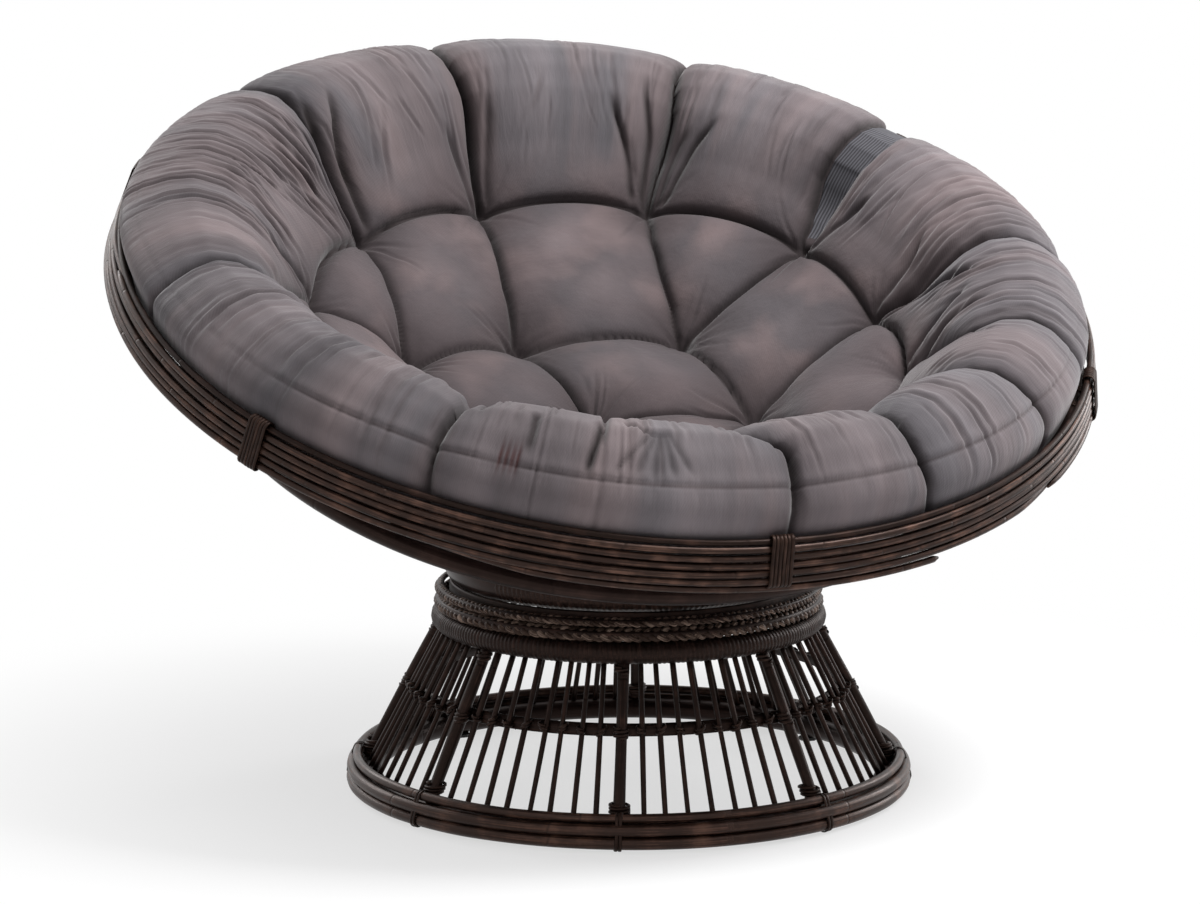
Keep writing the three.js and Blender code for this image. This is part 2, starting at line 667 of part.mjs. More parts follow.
function inBowl(angle, radius, height) {
  const p = onPlane(angle, radius);
  return new THREE.Vector3(p.x, -p.y, height);
}

function rollPoint(spoke, row) {
  const full = mix(1, spoke.full, spoke.depth);
  const toRim = (row.radius * cushionRadius - tuftRingRadius) / (cushionRadius - tuftRingRadius);
  const angle = THREE.MathUtils.degToRad(mix(spoke.tuft, spoke.rim, Math.min(toRim, 1)));
  const radius = cushionRadius * mix(row.creaseRadius, row.radius, full);
  return inBowl(angle, radius, crest(angle) * mix(row.crease, row.crown, full) - tuftDepth);
}

function buildCushionRings() {
  const spokes = cushionSpokes();
  const radians = spokes.map((spoke) => THREE.MathUtils.degToRad(spoke.tuft));
  const rings = seatRingShares.map((share) => radians.map((angle) => {
    const radius = share * tuftRingRadius;
    return inBowl(angle, radius, seatHeight(onPlane(angle, radius)));
  }));
  rollShares.forEach((row) => rings.push(spokes.map((spoke) => rollPoint(spoke, row))));
  const rimAngles = spokes.map((spoke) => THREE.MathUtils.degToRad(spoke.rim));
  rings.push(rimAngles.map((angle) => inBowl(
    angle, edgeShares.radius * cushionRadius, crest(angle) * edgeShares.height - tuftDepth)));
  const underside = dishSphereRadius - ribDiameter / 2 - cushionGap - seatGap;
  const undersideHeight = (radius) => dishCentreHeight - Math.sqrt(underside ** 2 - radius ** 2);
  undersideShares.forEach((share) => rings.push(rimAngles.map((angle) => inBowl(
    angle, share * cushionRadius, undersideHeight(share * cushionRadius)))));
  const top = new THREE.Vector3(0, 0, seatHeight(new THREE.Vector2()));
  const bottom = new THREE.Vector3(0, 0, undersideHeight(0));
  return { rings, top, bottom };
}

// A closed skin over rings of points, with a fan to a point at each end
function skin(rings, first, last) {
  const count = rings[0].length;
  const points = [first, ...rings.flat(), last];
  const index = [];
  const at = (ring, i) => 1 + ring * count + (i % count);
  for (let i = 0; i < count; i += 1) {
    index.push(0, at(0, i), at(0, i + 1));
    index.push(points.length - 1, at(rings.length - 1, i + 1), at(rings.length - 1, i));
    for (let ring = 0; ring + 1 < rings.length; ring += 1) {
      index.push(at(ring, i), at(ring + 1, i), at(ring + 1, i + 1));
      index.push(at(ring, i), at(ring + 1, i + 1), at(ring, i + 1));
    }
  }
  const geometry = new THREE.BufferGeometry().setFromPoints(points);
  geometry.setIndex(index);
  return geometry;
}

function buildCushion() {
  const { rings, top, bottom } = buildCushionRings();
  add(bowl, "cushion", skin(rings, top, bottom), colour.cushion, 0.9, 0);
}

// The strap lies on the flat floor of its crease, from the foot over the crest and down the inside
function buildStrap() {
  const spokes = cushionSpokes().filter((spoke) => spoke.full === 0);
  const first = spokes.findIndex((spoke, i) => i > 0 && spoke.tuft - spokes[i - 1].tuft === strapBedTurn);
  const pair = [spokes[first - 1], spokes[first]];
  const rows = [...rollShares].reverse().slice(0, -1);
  const floor = rows.map((row) => pair.map((spoke) => rollPoint(spoke, row)));
  const sections = floor.map((points, i) => {
    const [a, b] = points;
    const before = floor[Math.max(i - 1, 0)];
    const after = floor[Math.min(i + 1, floor.length - 1)];
    const along = new THREE.Vector3().subVectors(after[0], before[0]);
    const across = new THREE.Vector3().subVectors(b, a);
    const up = new THREE.Vector3().crossVectors(across, along).normalize();
    const share = i / (floor.length - 1);
    const width = mix(strapWidth, strapInnerWidth, share * share);
    const inset = Math.max((across.length() - width) / 2, strapGap);
    across.normalize();
    const left = a.clone().addScaledVector(across, inset).addScaledVector(up, strapGap);
    const right = b.clone().addScaledVector(across, -inset).addScaledVector(up, strapGap);
    const raised = (p) => p.clone().addScaledVector(up, strapThickness);
    return [left, right, raised(right), raised(left)];
  });
  const total = (ring) => ring.reduce((sum, p) => sum.add(p), new THREE.Vector3());
  const middle = (ring) => total(ring).divideScalar(ring.length);
  const strap = skin(sections, middle(sections[0]), middle(sections.at(-1)));
  add(bowl, "strap", strap, colour.strap, 0.8, 0);
}

buildBaseHoops();
buildBays();
buildMidHoop();
buildGlides();
buildSwivel();
buildCradle();
buildRim();
buildBindings();
buildDish();
buildCushion();
buildStrap();

export default chair;
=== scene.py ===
# %% [markdown]
# A papasan chair: a round cane bowl on a flared cane base, with one deep tufted cushion.
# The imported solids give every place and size. This script dresses them: canes with grain,
# wound lashings, plaited rings and a cushion with creases, tufts and wrinkles.

# %% Load the frame
import math

import bpy
import numpy as np
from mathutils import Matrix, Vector


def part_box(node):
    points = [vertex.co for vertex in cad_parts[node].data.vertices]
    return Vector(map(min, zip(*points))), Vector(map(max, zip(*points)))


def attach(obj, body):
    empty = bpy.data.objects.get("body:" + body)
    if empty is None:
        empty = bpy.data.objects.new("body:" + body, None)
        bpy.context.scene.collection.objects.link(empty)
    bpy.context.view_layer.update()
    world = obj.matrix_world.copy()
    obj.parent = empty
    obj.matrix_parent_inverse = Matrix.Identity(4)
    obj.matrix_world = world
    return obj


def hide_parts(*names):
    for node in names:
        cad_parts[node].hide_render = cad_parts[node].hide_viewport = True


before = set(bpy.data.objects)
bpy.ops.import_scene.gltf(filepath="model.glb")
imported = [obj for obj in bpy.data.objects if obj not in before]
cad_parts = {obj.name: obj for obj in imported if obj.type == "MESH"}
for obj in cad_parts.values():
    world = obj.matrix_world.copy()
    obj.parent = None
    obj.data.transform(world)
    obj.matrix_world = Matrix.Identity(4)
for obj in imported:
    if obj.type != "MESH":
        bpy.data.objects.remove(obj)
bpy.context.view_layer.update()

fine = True
rng = np.random.default_rng(7)
deg = math.radians

# %% [markdown]
# Two sets of axes carry everything. The base turns round a vertical line, the swivel axis.
# The bowl is a shallow dish whose rim circle is tilted forwards, so its pieces are placed by
# an angle round the rim (from the front towards +X), a radius, and a height off the rim's plane.

# %% Places in the base and in the bowl
tilt = deg(23.5)
rim_height = 0.481
rim_setback = 0.073
swivel_y = (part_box("top_hoop")[0][1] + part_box("top_hoop")[1][1]) / 2


def base_point(angle, radius, height):
    """A point round the swivel axis. Takes numbers or arrays."""
    angle, radius, height = np.broadcast_arrays(angle, radius, height)
    return np.stack([radius * np.sin(angle), swivel_y - radius * np.cos(angle), height], -1)


def bowl_point(angle, radius, height):
    """A point of the tilted bowl. Takes numbers or arrays."""
    angle, radius, height = np.broadcast_arrays(angle, radius, height)
    front = radius * np.cos(angle)
    y = swivel_y + rim_setback - front * math.cos(tilt) - height * math.sin(tilt)
    z = rim_height - front * math.sin(tilt) + height * math.cos(tilt)
    return np.stack([radius * np.sin(angle), y, z], -1)


def off_axis(angle):
    """The level direction away from the swivel axis."""
    return base_point(angle, 1.0, 0) - base_point(angle, 0.0, 0)


bowl_up = bowl_point(0.0, 0.0, 1.0) - bowl_point(0.0, 0.0, 0.0)
print("swivel axis at y", round(swivel_y, 4), "and the bowl's up", bowl_up.round(3))

# %% [markdown]
# A mesh is points, and faces that name their corners. Nearly every piece here is a grid of
# points, so one helper makes its faces. A second array says where each point lies in the piece,
# across it and along it, so that the grain of a material can run true.

# %% Meshes from arrays
def unit(v):
    return v / np.maximum(np.linalg.norm(v, axis=-1, keepdims=True), 1e-12)


def full_circle(count):
    """Even angles once round."""
    return np.arange(count) * 2 * math.pi / count


def grid_quads(rows, columns, close_rows=False, close_columns=True, flip=False):
    """Faces of a grid of points. A closed side joins its end to its start."""
    i = np.arange(rows if close_rows else rows - 1)[:, None]
    j = np.arange(columns if close_columns else columns - 1)[None]
    near, far, after = i * columns, (i + 1) % rows * columns, (j + 1) % columns
    corners = [near + j, near + after, far + after, far + j]
    order = (0, 3, 2, 1) if flip else (0, 1, 2, 3)
    return np.stack([corners[k] for k in order], -1).reshape(-1, 4)


def add_attribute(mesh, name, values):
    """A number or a place at each point, for the materials."""
    values = np.asarray(values, np.float32)
    kind, key = ("FLOAT_VECTOR", "vector") if values.ndim == 2 else ("FLOAT", "value")
    mesh.attributes.new(name, kind, "POINT").data.foreach_set(key, values.ravel())


def make_piece(name, points, faces, body, material, along=None):
    mesh = bpy.data.meshes.new(name)
    mesh.vertices.add(len(points))
    mesh.vertices.foreach_set("co", np.asarray(points, np.float32).ravel())
    sizes = np.array([len(face) for face in faces])
    corners = np.concatenate(list(faces))
    mesh.loops.add(len(corners))
    mesh.loops.foreach_set("vertex_index", corners.astype(np.int32))
    mesh.polygons.add(len(sizes))
    starts = np.concatenate([[0], np.cumsum(sizes)[:-1]])
    mesh.polygons.foreach_set("loop_start", starts.astype(np.int32))
    mesh.polygons.foreach_set("use_smooth", np.ones(len(sizes), bool))
    mesh.update(calc_edges=True)
    mesh.validate()
    if along is not None:
        add_attribute(mesh, "along", along)
    piece = bpy.data.objects.new(name, mesh)
    bpy.context.scene.collection.objects.link(piece)
    mesh.materials.append(material)
    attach(piece, body)
    return piece


print("faces of a small grid", grid_quads(2, 3).tolist())

# %% [markdown]
# Everything in the frame is long and round: canes, poles, split cane and plaited strands. One
# sweep makes them all. It carries an oval section along a path, turns it with the path, and
# closes the two ends with a small fan of faces unless the path is a ring.

# %% The sweep
def sweep(path, up, half_width, half_height=None, sides=10, closed=False):
    """Points, faces and grain places of an oval section carried along a path."""
    count = len(path)
    half_width = np.broadcast_to(half_width, count)
    half_height = half_width if half_height is None else np.broadcast_to(half_height, count)
    if closed:
        ahead = np.roll(path, -1, 0) - np.roll(path, 1, 0)
        steps = np.linalg.norm(path - np.roll(path, 1, 0), axis=1)
    else:
        ahead = np.gradient(path, axis=0)
        steps = np.linalg.norm(np.diff(path, axis=0, prepend=path[:1]), axis=1)
    ahead = unit(ahead)
    side = unit(np.cross(ahead, up))
    rise = np.cross(side, ahead)
    turn = full_circle(sides)
    across = half_width[:, None] * np.cos(turn)
    high = half_height[:, None] * np.sin(turn)
    points = path[:, None] + across[..., None] * side[:, None] + high[..., None] * rise[:, None]
    points = points.reshape(-1, 3)
    length = np.cumsum(steps)
    along = np.stack(np.broadcast_arrays(across, high, length[:, None]), -1).reshape(-1, 3)
    quads = grid_quads(count, sides, close_rows=closed)
    if closed:
        return points, quads, along
    total = count * sides
    j = np.arange(sides)
    after = (j + 1) % sides
    first = np.stack([np.full(sides, total), after, j], -1)
    last = np.stack([np.full(sides, total + 1), total - sides + j, total - sides + after], -1)
    points = np.concatenate([points, [path[0], path[-1]]])
    along = np.concatenate([along, [[0, 0, 0], [0, 0, length[-1]]]])
    return points, [*quads, *first, *last], along


def make_parts(name, parts, body, material, grain_start=0.0):
    """One piece out of one or more sweeps. Each has its own stretch of the grain."""
    points, faces, along = [], [], []
    start = 0
    for part_points, part_faces, part_along in parts:
        points.append(part_points)
        faces.extend(face + start for face in part_faces)
        along.append(part_along + np.array([0, 0, grain_start + start * 0.37]))
        start += len(part_points)
    return make_piece(name, np.concatenate(points), faces, body, material, np.concatenate(along))


short_rod = sweep(np.linspace((0, 0, 0), (0, 0, 0.1), 5), (0, 1, 0), 0.01)
print("points of a short rod", len(short_rod[0]))

# %% [markdown]
# Lashings are split cane wound round and round. Each is one outline, such as a circle or a
# rounded slot, followed again and again while it moves sideways by its own width.

# %% Outlines and windings
def circle_outline(radius, steps=14):
    turn = full_circle(steps)
    return np.stack([radius * np.cos(turn), radius * np.sin(turn)], -1)


def slot_outline(start, end, radius, steps):
    """An outline at one distance round the line from start to end."""
    start, end = np.asarray(start, float), np.asarray(end, float)
    line = end - start
    heading = math.atan2(line[1], line[0])
    turn = heading + np.linspace(math.pi / 2, 3 * math.pi / 2, steps // 2)
    first = start + radius * np.stack([np.cos(turn), np.sin(turn)], -1)
    last = end + radius * np.stack([np.cos(turn + math.pi), np.sin(turn + math.pi)], -1)
    return np.concatenate([first, last])


def winding(outline, place, turns, pitch, half_width, half_height, jitter):
    """A strip wound round an outline. place gives the point for two outline places and a shift."""
    count = len(outline)
    steps = np.arange(int(turns * count) + 1)
    before, after = outline[(steps - 1) % count], outline[(steps + 1) % count]
    edge = after - before
    outward = unit(np.stack([edge[:, 1], -edge[:, 0]], -1))
    loose = np.interp(steps / count, np.arange(turns + 2), rng.normal(0, jitter, turns + 2))
    flat = outline[steps % count] + outward * np.abs(loose)[:, None]
    shift = (steps / count - turns / 2) * pitch + loose
    path = place(flat[:, 0], flat[:, 1], shift)
    lifted = flat + outward * 1e-4
    up = place(lifted[:, 0], lifted[:, 1], shift) - path
    return sweep(path, up, half_width, half_height, sides=6)


print("points of a slot outline", len(slot_outline((0, 0), (1, 0), 0.1, 10)))

# %% [markdown]
# Materials are trees of nodes. A few short helpers add a node and fill its inputs with values
# or with the outputs of other nodes, so that each finish below reads as a list of steps.

# %% Helpers for shader nodes
def fill_inputs(tree, node, **inputs):
    """Set inputs by name, or by number as in i0. A socket is linked, a colour gets its alpha."""
    for key, value in inputs.items():
        by_number = key[0] == "i" and key[1:].isdigit()
        socket = node.inputs[int(key[1:])] if by_number else node.inputs[key.replace("_", " ")]
        if isinstance(value, bpy.types.NodeSocket):
            tree.links.new(value, socket)
        elif socket.type == "RGBA":
            socket.default_value = (*value, 1)
        else:
            socket.default_value = value


def add(tree, kind, settings=None, **inputs):
    node = tree.nodes.new(kind)
    for key, value in (settings or {}).items():
        setattr(node, key, value)
    fill_inputs(tree, node, **inputs)
    return node


def math_node(tree, operation, *values, clamp=False):
    inputs = {f"i{i}": value for i, value in enumerate(values)}
    return add(tree, "ShaderNodeMath", {"operation": operation, "use_clamp": clamp}, **inputs).outputs[0]


def multiply(tree, first, second):
    return math_node(tree, "MULTIPLY", first, second)


def remap(tree, value, low=0.0, high=1.0, to_low=0.0, to_high=1.0):
    return add(tree, "ShaderNodeMapRange", i0=value, i1=low, i2=high, i3=to_low, i4=to_high).outputs[0]


def attribute(tree, name, output="Fac"):
    return add(tree, "ShaderNodeAttribute", {"attribute_name": name}).outputs[output]


def noise(tree, vector, scale, detail=3.0, roughness=0.55):
    inputs = {"Vector": vector, "Scale": scale, "Detail": detail, "Roughness": roughness}
    return add(tree, "ShaderNodeTexNoise", **inputs).outputs[0]


def ramp(tree, factor, stops):
    node = add(tree, "ShaderNodeValToRGB", i0=factor)
    band = node.color_ramp
    while len(band.elements) < len(stops):
        band.elements.new(0.5)
    for element, (place, color) in zip(band.elements, stops):
        element.position = place
        element.color = (*color, 1)
    return node.outputs[0]


def blend_colours(tree, factor, first, second, kind="MIX"):
    settings = {"data_type": "RGBA", "blend_type": kind}
    return add(tree, "ShaderNodeMix", settings, i0=factor, i6=first, i7=second).outputs[2]


def shaded(tree, colour, tone):
    """A colour times a grey of that tone."""
    grey = add(tree, "ShaderNodeCombineColor", i0=tone, i1=tone, i2=tone).outputs[0]
    return blend_colours(tree, 1.0, colour, grey, "MULTIPLY")


def relief(tree, height, strength, distance, **under):
    """Small bumps from a height, on top of the Normal that under may give."""
    inputs = {"Strength": strength, "Distance": distance, "Height": height}
    return add(tree, "ShaderNodeBump", **inputs, **under).outputs[0]


print("materials before the first finish", len(bpy.data.materials))

# %% [markdown]
# Some effects are shared by several finishes, so each is a group that they can all use. Grain
# is noise stretched along the piece. Rings are the scars where leaves grew on the cane.
# Mottling shifts a colour in soft patches.

# %% Shader groups
number, vector, colour_kind = "NodeSocketFloat", "NodeSocketVector", "NodeSocketColor"


def new_group(name, outputs, **inputs):
    """A group. An input is given as its default number or, without one, as its kind."""
    group = bpy.data.node_groups.new(name, "ShaderNodeTree")
    for key, value in inputs.items():
        kind = value if isinstance(value, str) else number
        socket = group.interface.new_socket(key, in_out="INPUT", socket_type=kind)
        if kind == number:
            socket.default_value = value
    for key, kind in outputs.items():
        group.interface.new_socket(key, in_out="OUTPUT", socket_type=kind)
    return group, group.nodes.new("NodeGroupInput").outputs, group.nodes.new("NodeGroupOutput")


def use(tree, group, **inputs):
    node = add(tree, "ShaderNodeGroup", {"node_tree": group}, **inputs)
    return node.outputs


def make_grain_group():
    outputs = {"Streaks": number, "Patches": number, "Height": number}
    group, given, out = new_group("cane grain", outputs, Place=vector, Across=700.0, Lengthwise=16.0)
    x, y, z = add(group, "ShaderNodeSeparateXYZ", i0=given["Place"]).outputs
    stretched = add(group, "ShaderNodeCombineXYZ", i0=multiply(group, x, given["Across"]),
                    i1=multiply(group, y, given["Across"]), i2=multiply(group, z, given["Lengthwise"]))
    streaks = noise(group, stretched.outputs[0], 1.0, 4.0, 0.6)
    patches = noise(group, given["Place"], 34.0, 3.0, 0.6)
    height = math_node(group, "MULTIPLY_ADD", streaks, 0.75, multiply(group, patches, 0.25))
    fill_inputs(group, out, Streaks=streaks, Patches=patches, Height=height)
    return group


def make_ring_group():
    group, given, out = new_group("growth rings", {"Mask": number}, Place=vector, Spacing=0.2, Width=0.0022)
    z = add(group, "ShaderNodeSeparateXYZ", i0=given["Place"]).outputs[2]
    shifted = math_node(group, "MULTIPLY_ADD", noise(group, given["Place"], 3.0, 0.0), 0.14, z)
    inside = math_node(group, "PINGPONG", math_node(group, "DIVIDE", shifted, given["Spacing"]), 0.5)
    distance = multiply(group, inside, given["Spacing"])
    far = math_node(group, "DIVIDE", distance, given["Width"], clamp=True)
    fill_inputs(group, out, Mask=math_node(group, "SUBTRACT", 1.0, far))
    return group


def make_mottle_group():
    tones = {"First": colour_kind, "Second": colour_kind, "Third": colour_kind}
    group, given, out = new_group("soft mottling", {"Colour": colour_kind}, Place=vector, Scale=6.0, **tones)
    patches = noise(group, given["Place"], given["Scale"], 2.5, 0.5)
    moved = add(group, "ShaderNodeVectorMath", {"operation": "ADD"}, i0=given["Place"], i1=(3.1, 7.7, 1.3))
    others = noise(group, moved.outputs[0], multiply(group, given["Scale"], 1.9), 2.0, 0.5)
    both = blend_colours(group, remap(group, patches, 0.38, 0.62), given["First"], given["Second"])
    mottled = blend_colours(group, remap(group, others, 0.5, 0.72), both, given["Third"])
    fill_inputs(group, out, Colour=mottled)
    return group


grain_group = make_grain_group()
ring_group = make_ring_group()
mottle_group = make_mottle_group()
print("shader groups", [group.name for group in (grain_group, ring_group, mottle_group)])

# %% [markdown]
# Stained cane is nearly black with a warm brown where the stain is thin, and its lacquer
# shines along the curve. Poles are thicker and smoother, so their grain is finer and they
# keep the clear growth rings. The plaits are worn, so their finish has the palest patches.

# %% Cane and pole finishes
def new_material(name):
    material = bpy.data.materials.new(name)
    material.use_nodes = True
    tree = material.node_tree
    return material, tree, tree.nodes["Principled BSDF"]


def cane_finish(name, dark, middle, light, across=700.0, lengthwise=16.0, rings=0.21, gloss=0.42, bump=0.35,
                shine=0.16):
    material, tree, shader = new_material(name)
    place = attribute(tree, "along", "Vector")
    grain = use(tree, grain_group, Place=place, Across=across, Lengthwise=lengthwise)
    ring = use(tree, ring_group, Place=place, Spacing=rings)[0]
    tone = math_node(tree, "MULTIPLY_ADD", grain["Patches"], 0.6, multiply(tree, grain["Streaks"], 0.6))
    colour = ramp(tree, tone, [(0.42, dark), (0.6, middle), (0.76, light)])
    height = math_node(tree, "MULTIPLY_ADD", ring, 1.2, grain["Height"])
    fill_inputs(tree, shader,
                Base_Color=blend_colours(tree, multiply(tree, ring, 0.75), colour, dark),
                Roughness=remap(tree, grain["Streaks"], 0.3, 0.7, gloss - 0.08, gloss + 0.14),
                Coat_Weight=0.02, Coat_Roughness=0.22,
                Specular_IOR_Level=shine, Specular_Tint=(1.0, 0.66, 0.56),
                Normal=relief(tree, height, bump, 0.0012))
    return material


cane = cane_finish("stained cane", (0.003, 0.0016, 0.0011), (0.0095, 0.0044, 0.003), (0.105, 0.055, 0.039),
                   gloss=0.36, shine=0.34)
dark_cane = cane_finish("dark stained cane", (0.003, 0.0019, 0.0016), (0.0075, 0.0045, 0.0038),
                        (0.04, 0.021, 0.016))
pole = cane_finish("stained pole", (0.006, 0.0034, 0.003), (0.012, 0.007, 0.006), (0.032, 0.018, 0.015),
                   across=420.0, lengthwise=7.0, rings=0.27, gloss=0.34, bump=0.18)
split_cane = cane_finish("split cane", (0.004, 0.0024, 0.002), (0.0115, 0.0065, 0.005), (0.065, 0.036, 0.027),
                         across=1500.0, lengthwise=30.0, rings=0.5, gloss=0.38, bump=0.3)
peeled_cane = cane_finish("worn plait", (0.006, 0.0038, 0.003), (0.032, 0.02, 0.015), (0.3, 0.215, 0.17),
                          across=1200.0, lengthwise=40.0, rings=0.5, gloss=0.36, bump=0.3)
print("cane finishes", [finish.name for finish in (cane, dark_cane, pole, split_cane, peeled_cane)])

# %% [markdown]
# The swivel and the cradle are steel with dark paint, worn a little brighter on their edges.
# The glides are plain black plastic. These solids keep their CAD shape, with soft edges.

# %% Painted steel and plastic
def steel_finish():
    material, tree, shader = new_material("dark painted steel")
    spots = noise(tree, add(tree, "ShaderNodeTexCoord").outputs["Object"], 90.0, 4.0, 0.6)
    edges = remap(tree, add(tree, "ShaderNodeNewGeometry").outputs["Pointiness"], 0.52, 0.62)
    paint, bare = (0.011, 0.009, 0.008), (0.08, 0.068, 0.06)
    fill_inputs(tree, shader, Base_Color=blend_colours(tree, multiply(tree, edges, spots), paint, bare),
                Roughness=remap(tree, spots, 0.3, 0.7, 0.36, 0.52), Metallic=0.1,
                Specular_IOR_Level=0.3, Normal=relief(tree, spots, 0.12, 0.0006))
    return material


def glide_finish():
    material, tree, shader = new_material("black glide")
    scuffs = noise(tree, add(tree, "ShaderNodeTexCoord").outputs["Object"], 220.0, 4.0, 0.7)
    colour = ramp(tree, scuffs, [(0.4, (0.006, 0.006, 0.006)), (0.75, (0.03, 0.029, 0.028))])
    fill_inputs(tree, shader, Base_Color=colour, Roughness=remap(tree, scuffs, to_low=0.5, to_high=0.75),
                Normal=relief(tree, scuffs, 0.2, 0.0005))
    return material


def dress_solid(node, material, edge):
    """A CAD solid that stays, with its finish and softened edges."""
    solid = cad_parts[node]
    solid.data.materials.clear()
    solid.data.materials.append(material)
    bevel = solid.modifiers.new("soft edges", "BEVEL")
    bevel.width = edge
    bevel.segments = 2
    bevel.limit_method = "ANGLE"
    bevel.angle_limit = deg(40)


steel = steel_finish()
glide = glide_finish()
glides = [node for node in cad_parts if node.startswith("glide")]
steel_nodes = ("bearing_plate_lower", "bearing_plate_upper", "ball_ring", "kingpin", "cradle")
for node in glides:
    dress_solid(node, glide, 0.0006)
for node in steel_nodes:
    dress_solid(node, steel, 0.0007)
print("solids that stay", len(glides) + len(steel_nodes))

# %% [markdown]
# The hoops of the base. A real hoop is one long cane bent round until its ends meet, so each
# wanders a little from a true circle. The radius comes from the solid it stands for.

# %% Rings
ring_steps = 240 if fine else 96


def wander(angles, size, seed):
    """Small slow swings round a ring, the same at both ends."""
    local = np.random.default_rng(seed)
    total = np.zeros_like(angles)
    for cycles in range(2, 9):
        total += local.normal(0, 1) * np.cos(cycles * angles + local.uniform(0, 2 * math.pi)) / cycles
    return size * total


def ring_of(node):
    """Outer radius, lowest and highest place of a ring of the base."""
    low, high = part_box(node)
    return (high[0] - low[0]) / 2, low[2], high[2]


def uneven_ring(place, up, centre, level, half, sides, swing, seed):
    """A ring of cane that swings out and up a little, and is thicker here and there."""
    angles = full_circle(ring_steps)
    path = place(angles, centre + wander(angles, swing, seed), level + wander(angles, swing, seed + 50))
    girth = half * (1 + wander(angles * 3, 0.02, seed + 90))
    return sweep(path, up, girth, sides=sides, closed=True)


def base_ring(node, thickness, material, body="base", sides=12, swing=0.0004, seed=1):
    outer, low, high = ring_of(node)
    ring = uneven_ring(base_point, (0, 0, 1), outer - thickness / 2, (low + high) / 2, thickness / 2,
                       sides, swing, seed)
    piece = make_parts(node + "_cane", [ring], body, material)
    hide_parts(node)


base_ring("floor_hoop", 0.022, pole, seed=11)
base_ring("skirt_cane_lower", 0.0125, cane, seed=12)
base_ring("skirt_cane_upper", 0.0125, cane, seed=13)
base_ring("skirt_cane_top", 0.0095, cane, seed=14)
print("floor hoop's radius", round(ring_of("floor_hoop")[0], 4))

# %% [markdown]
# The top hoop is wound with split cane all the way round, and so is half of the foot ring that
# carries the bowl, at the front and on the sitter's left. The winding is fine and even, so it is
# made as ribs on the ring's own surface. Each rib swells and sinks once for each turn, and
# slants as a wound strip does.

# %% Wound rings
def wound_ring(name, nodes, centre, height, radius, body, material, start=0.0, end=2 * math.pi,
               strip=0.0046, swell=0.0007, sides=16):
    closed = end - start > 2 * math.pi - 1e-6
    turns = round((end - start) * centre / strip)
    per_turn = 6 if fine else 4
    steps = turns * per_turn + (0 if closed else 1)
    angles = start + (end - start) * np.arange(steps)[:, None] / (turns * per_turn)
    turn = full_circle(sides)
    phase = angles * turns * 2 * math.pi / (end - start) + turn
    uneven = 1 + 0.25 * np.sin(angles * 37) * np.sin(angles * 13 + 1)
    minor = radius - swell + swell * np.abs(np.sin(phase / 2)) * uneven
    if not closed:
        from_end = np.minimum(np.arange(steps), np.arange(steps)[::-1])
        minor = minor - swell * 1.6 * (from_end < 2)[:, None]
    points = base_point(angles, centre + minor * np.cos(turn), height + minor * np.sin(turn))
    faces = grid_quads(steps, sides, close_rows=closed, flip=True)
    next_strip = 0.061  # how far off in the grain each turn is from the one before
    length = turn * radius + next_strip * np.floor(phase / (2 * math.pi))
    along = np.stack([np.sin(phase) * 0.002, np.cos(phase) * 0.002, length], -1)
    piece = make_piece(name, points.reshape(-1, 3), faces, body, material, along.reshape(-1, 3))
    if nodes:
        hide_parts(*nodes)
    print(name, turns, "turns")


outer, low, high = ring_of("top_hoop")
top_half, top_winding_half = 0.011, 0.0114
wound_ring("top_hoop_winding", ["top_hoop"], outer - top_half, (low + high) / 2, top_winding_half,
           "base", dark_cane)

foot_outer, foot_low, foot_high = ring_of("foot_ring")
foot_half, foot_winding_half = 0.015, 0.0156
foot_centre, foot_height = foot_outer - foot_half, (foot_low + foot_high) / 2
base_ring("foot_ring", 2 * foot_half, pole, body="bowl", sides=20, swing=0.0002, seed=21)
wound_ring("foot_ring_winding", [], foot_centre, foot_height, foot_winding_half,
           "bowl", split_cane, start=deg(-66), end=deg(112), strip=0.0052, swell=0.0009)

# %% [markdown]
# Two plaited rings close the neck. A plait has three strands. Each swings from edge to edge
# and dips under the others as it crosses, one third of a swing behind the strand before it.
# A thin core in each plait closes the gaps between its strands, and a dark strip inside both plaits is
# painted shade: it stands for the shadow inside the neck.

# %% Plaited rings
def plaited_ring(node, width, depth, swings, strand, lean, seed):
    outer, low, high = ring_of(node)
    centre, height = outer - width, (low + high) / 2
    angles = full_circle(swings * (14 if fine else 8))
    parts = []
    for i in range(3):
        phase = swings * angles + i * 2 * math.pi / 3
        sway = width * 0.62 * np.sin(phase)
        dip = depth * np.sin(2 * phase) + wander(angles * 5, 0.0002, seed + i)
        radius = centre + sway * math.sin(lean) + dip * math.cos(lean)
        level = height + sway * math.cos(lean) - dip * math.sin(lean)
        path = base_point(angles, radius, level)
        out = base_point(angles, radius + math.cos(lean) * 1e-3, level - math.sin(lean) * 1e-3) - path
        parts.append(sweep(path, out, strand, strand * 0.62, sides=8, closed=True))
    piece = make_parts(node + "_plait", parts, "base", peeled_cane)
    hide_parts(node)
    print(node, "three strands of", len(angles), "steps")


def core_ring(node, radius):
    outer, low, high = ring_of(node)
    circle = base_point(full_circle(ring_steps), outer - (high - low) / 2, (low + high) / 2)
    core = sweep(circle, (0, 0, 1), radius, closed=True)
    make_parts(node + "_core", [core], "base", dark_cane)


def build_neck_shade_strip(radius=0.181, height=0.2, half_height=0.0143, half_thickness=0.0012):
    angles = full_circle(ring_steps)
    strip = sweep(base_point(angles, radius, height), off_axis(angles), half_height, half_thickness,
                  sides=12, closed=True)
    # Painted shade: a dark strip for the shadow inside the neck.
    make_parts("neck_shade_strip", [strip], "base", dark_cane)


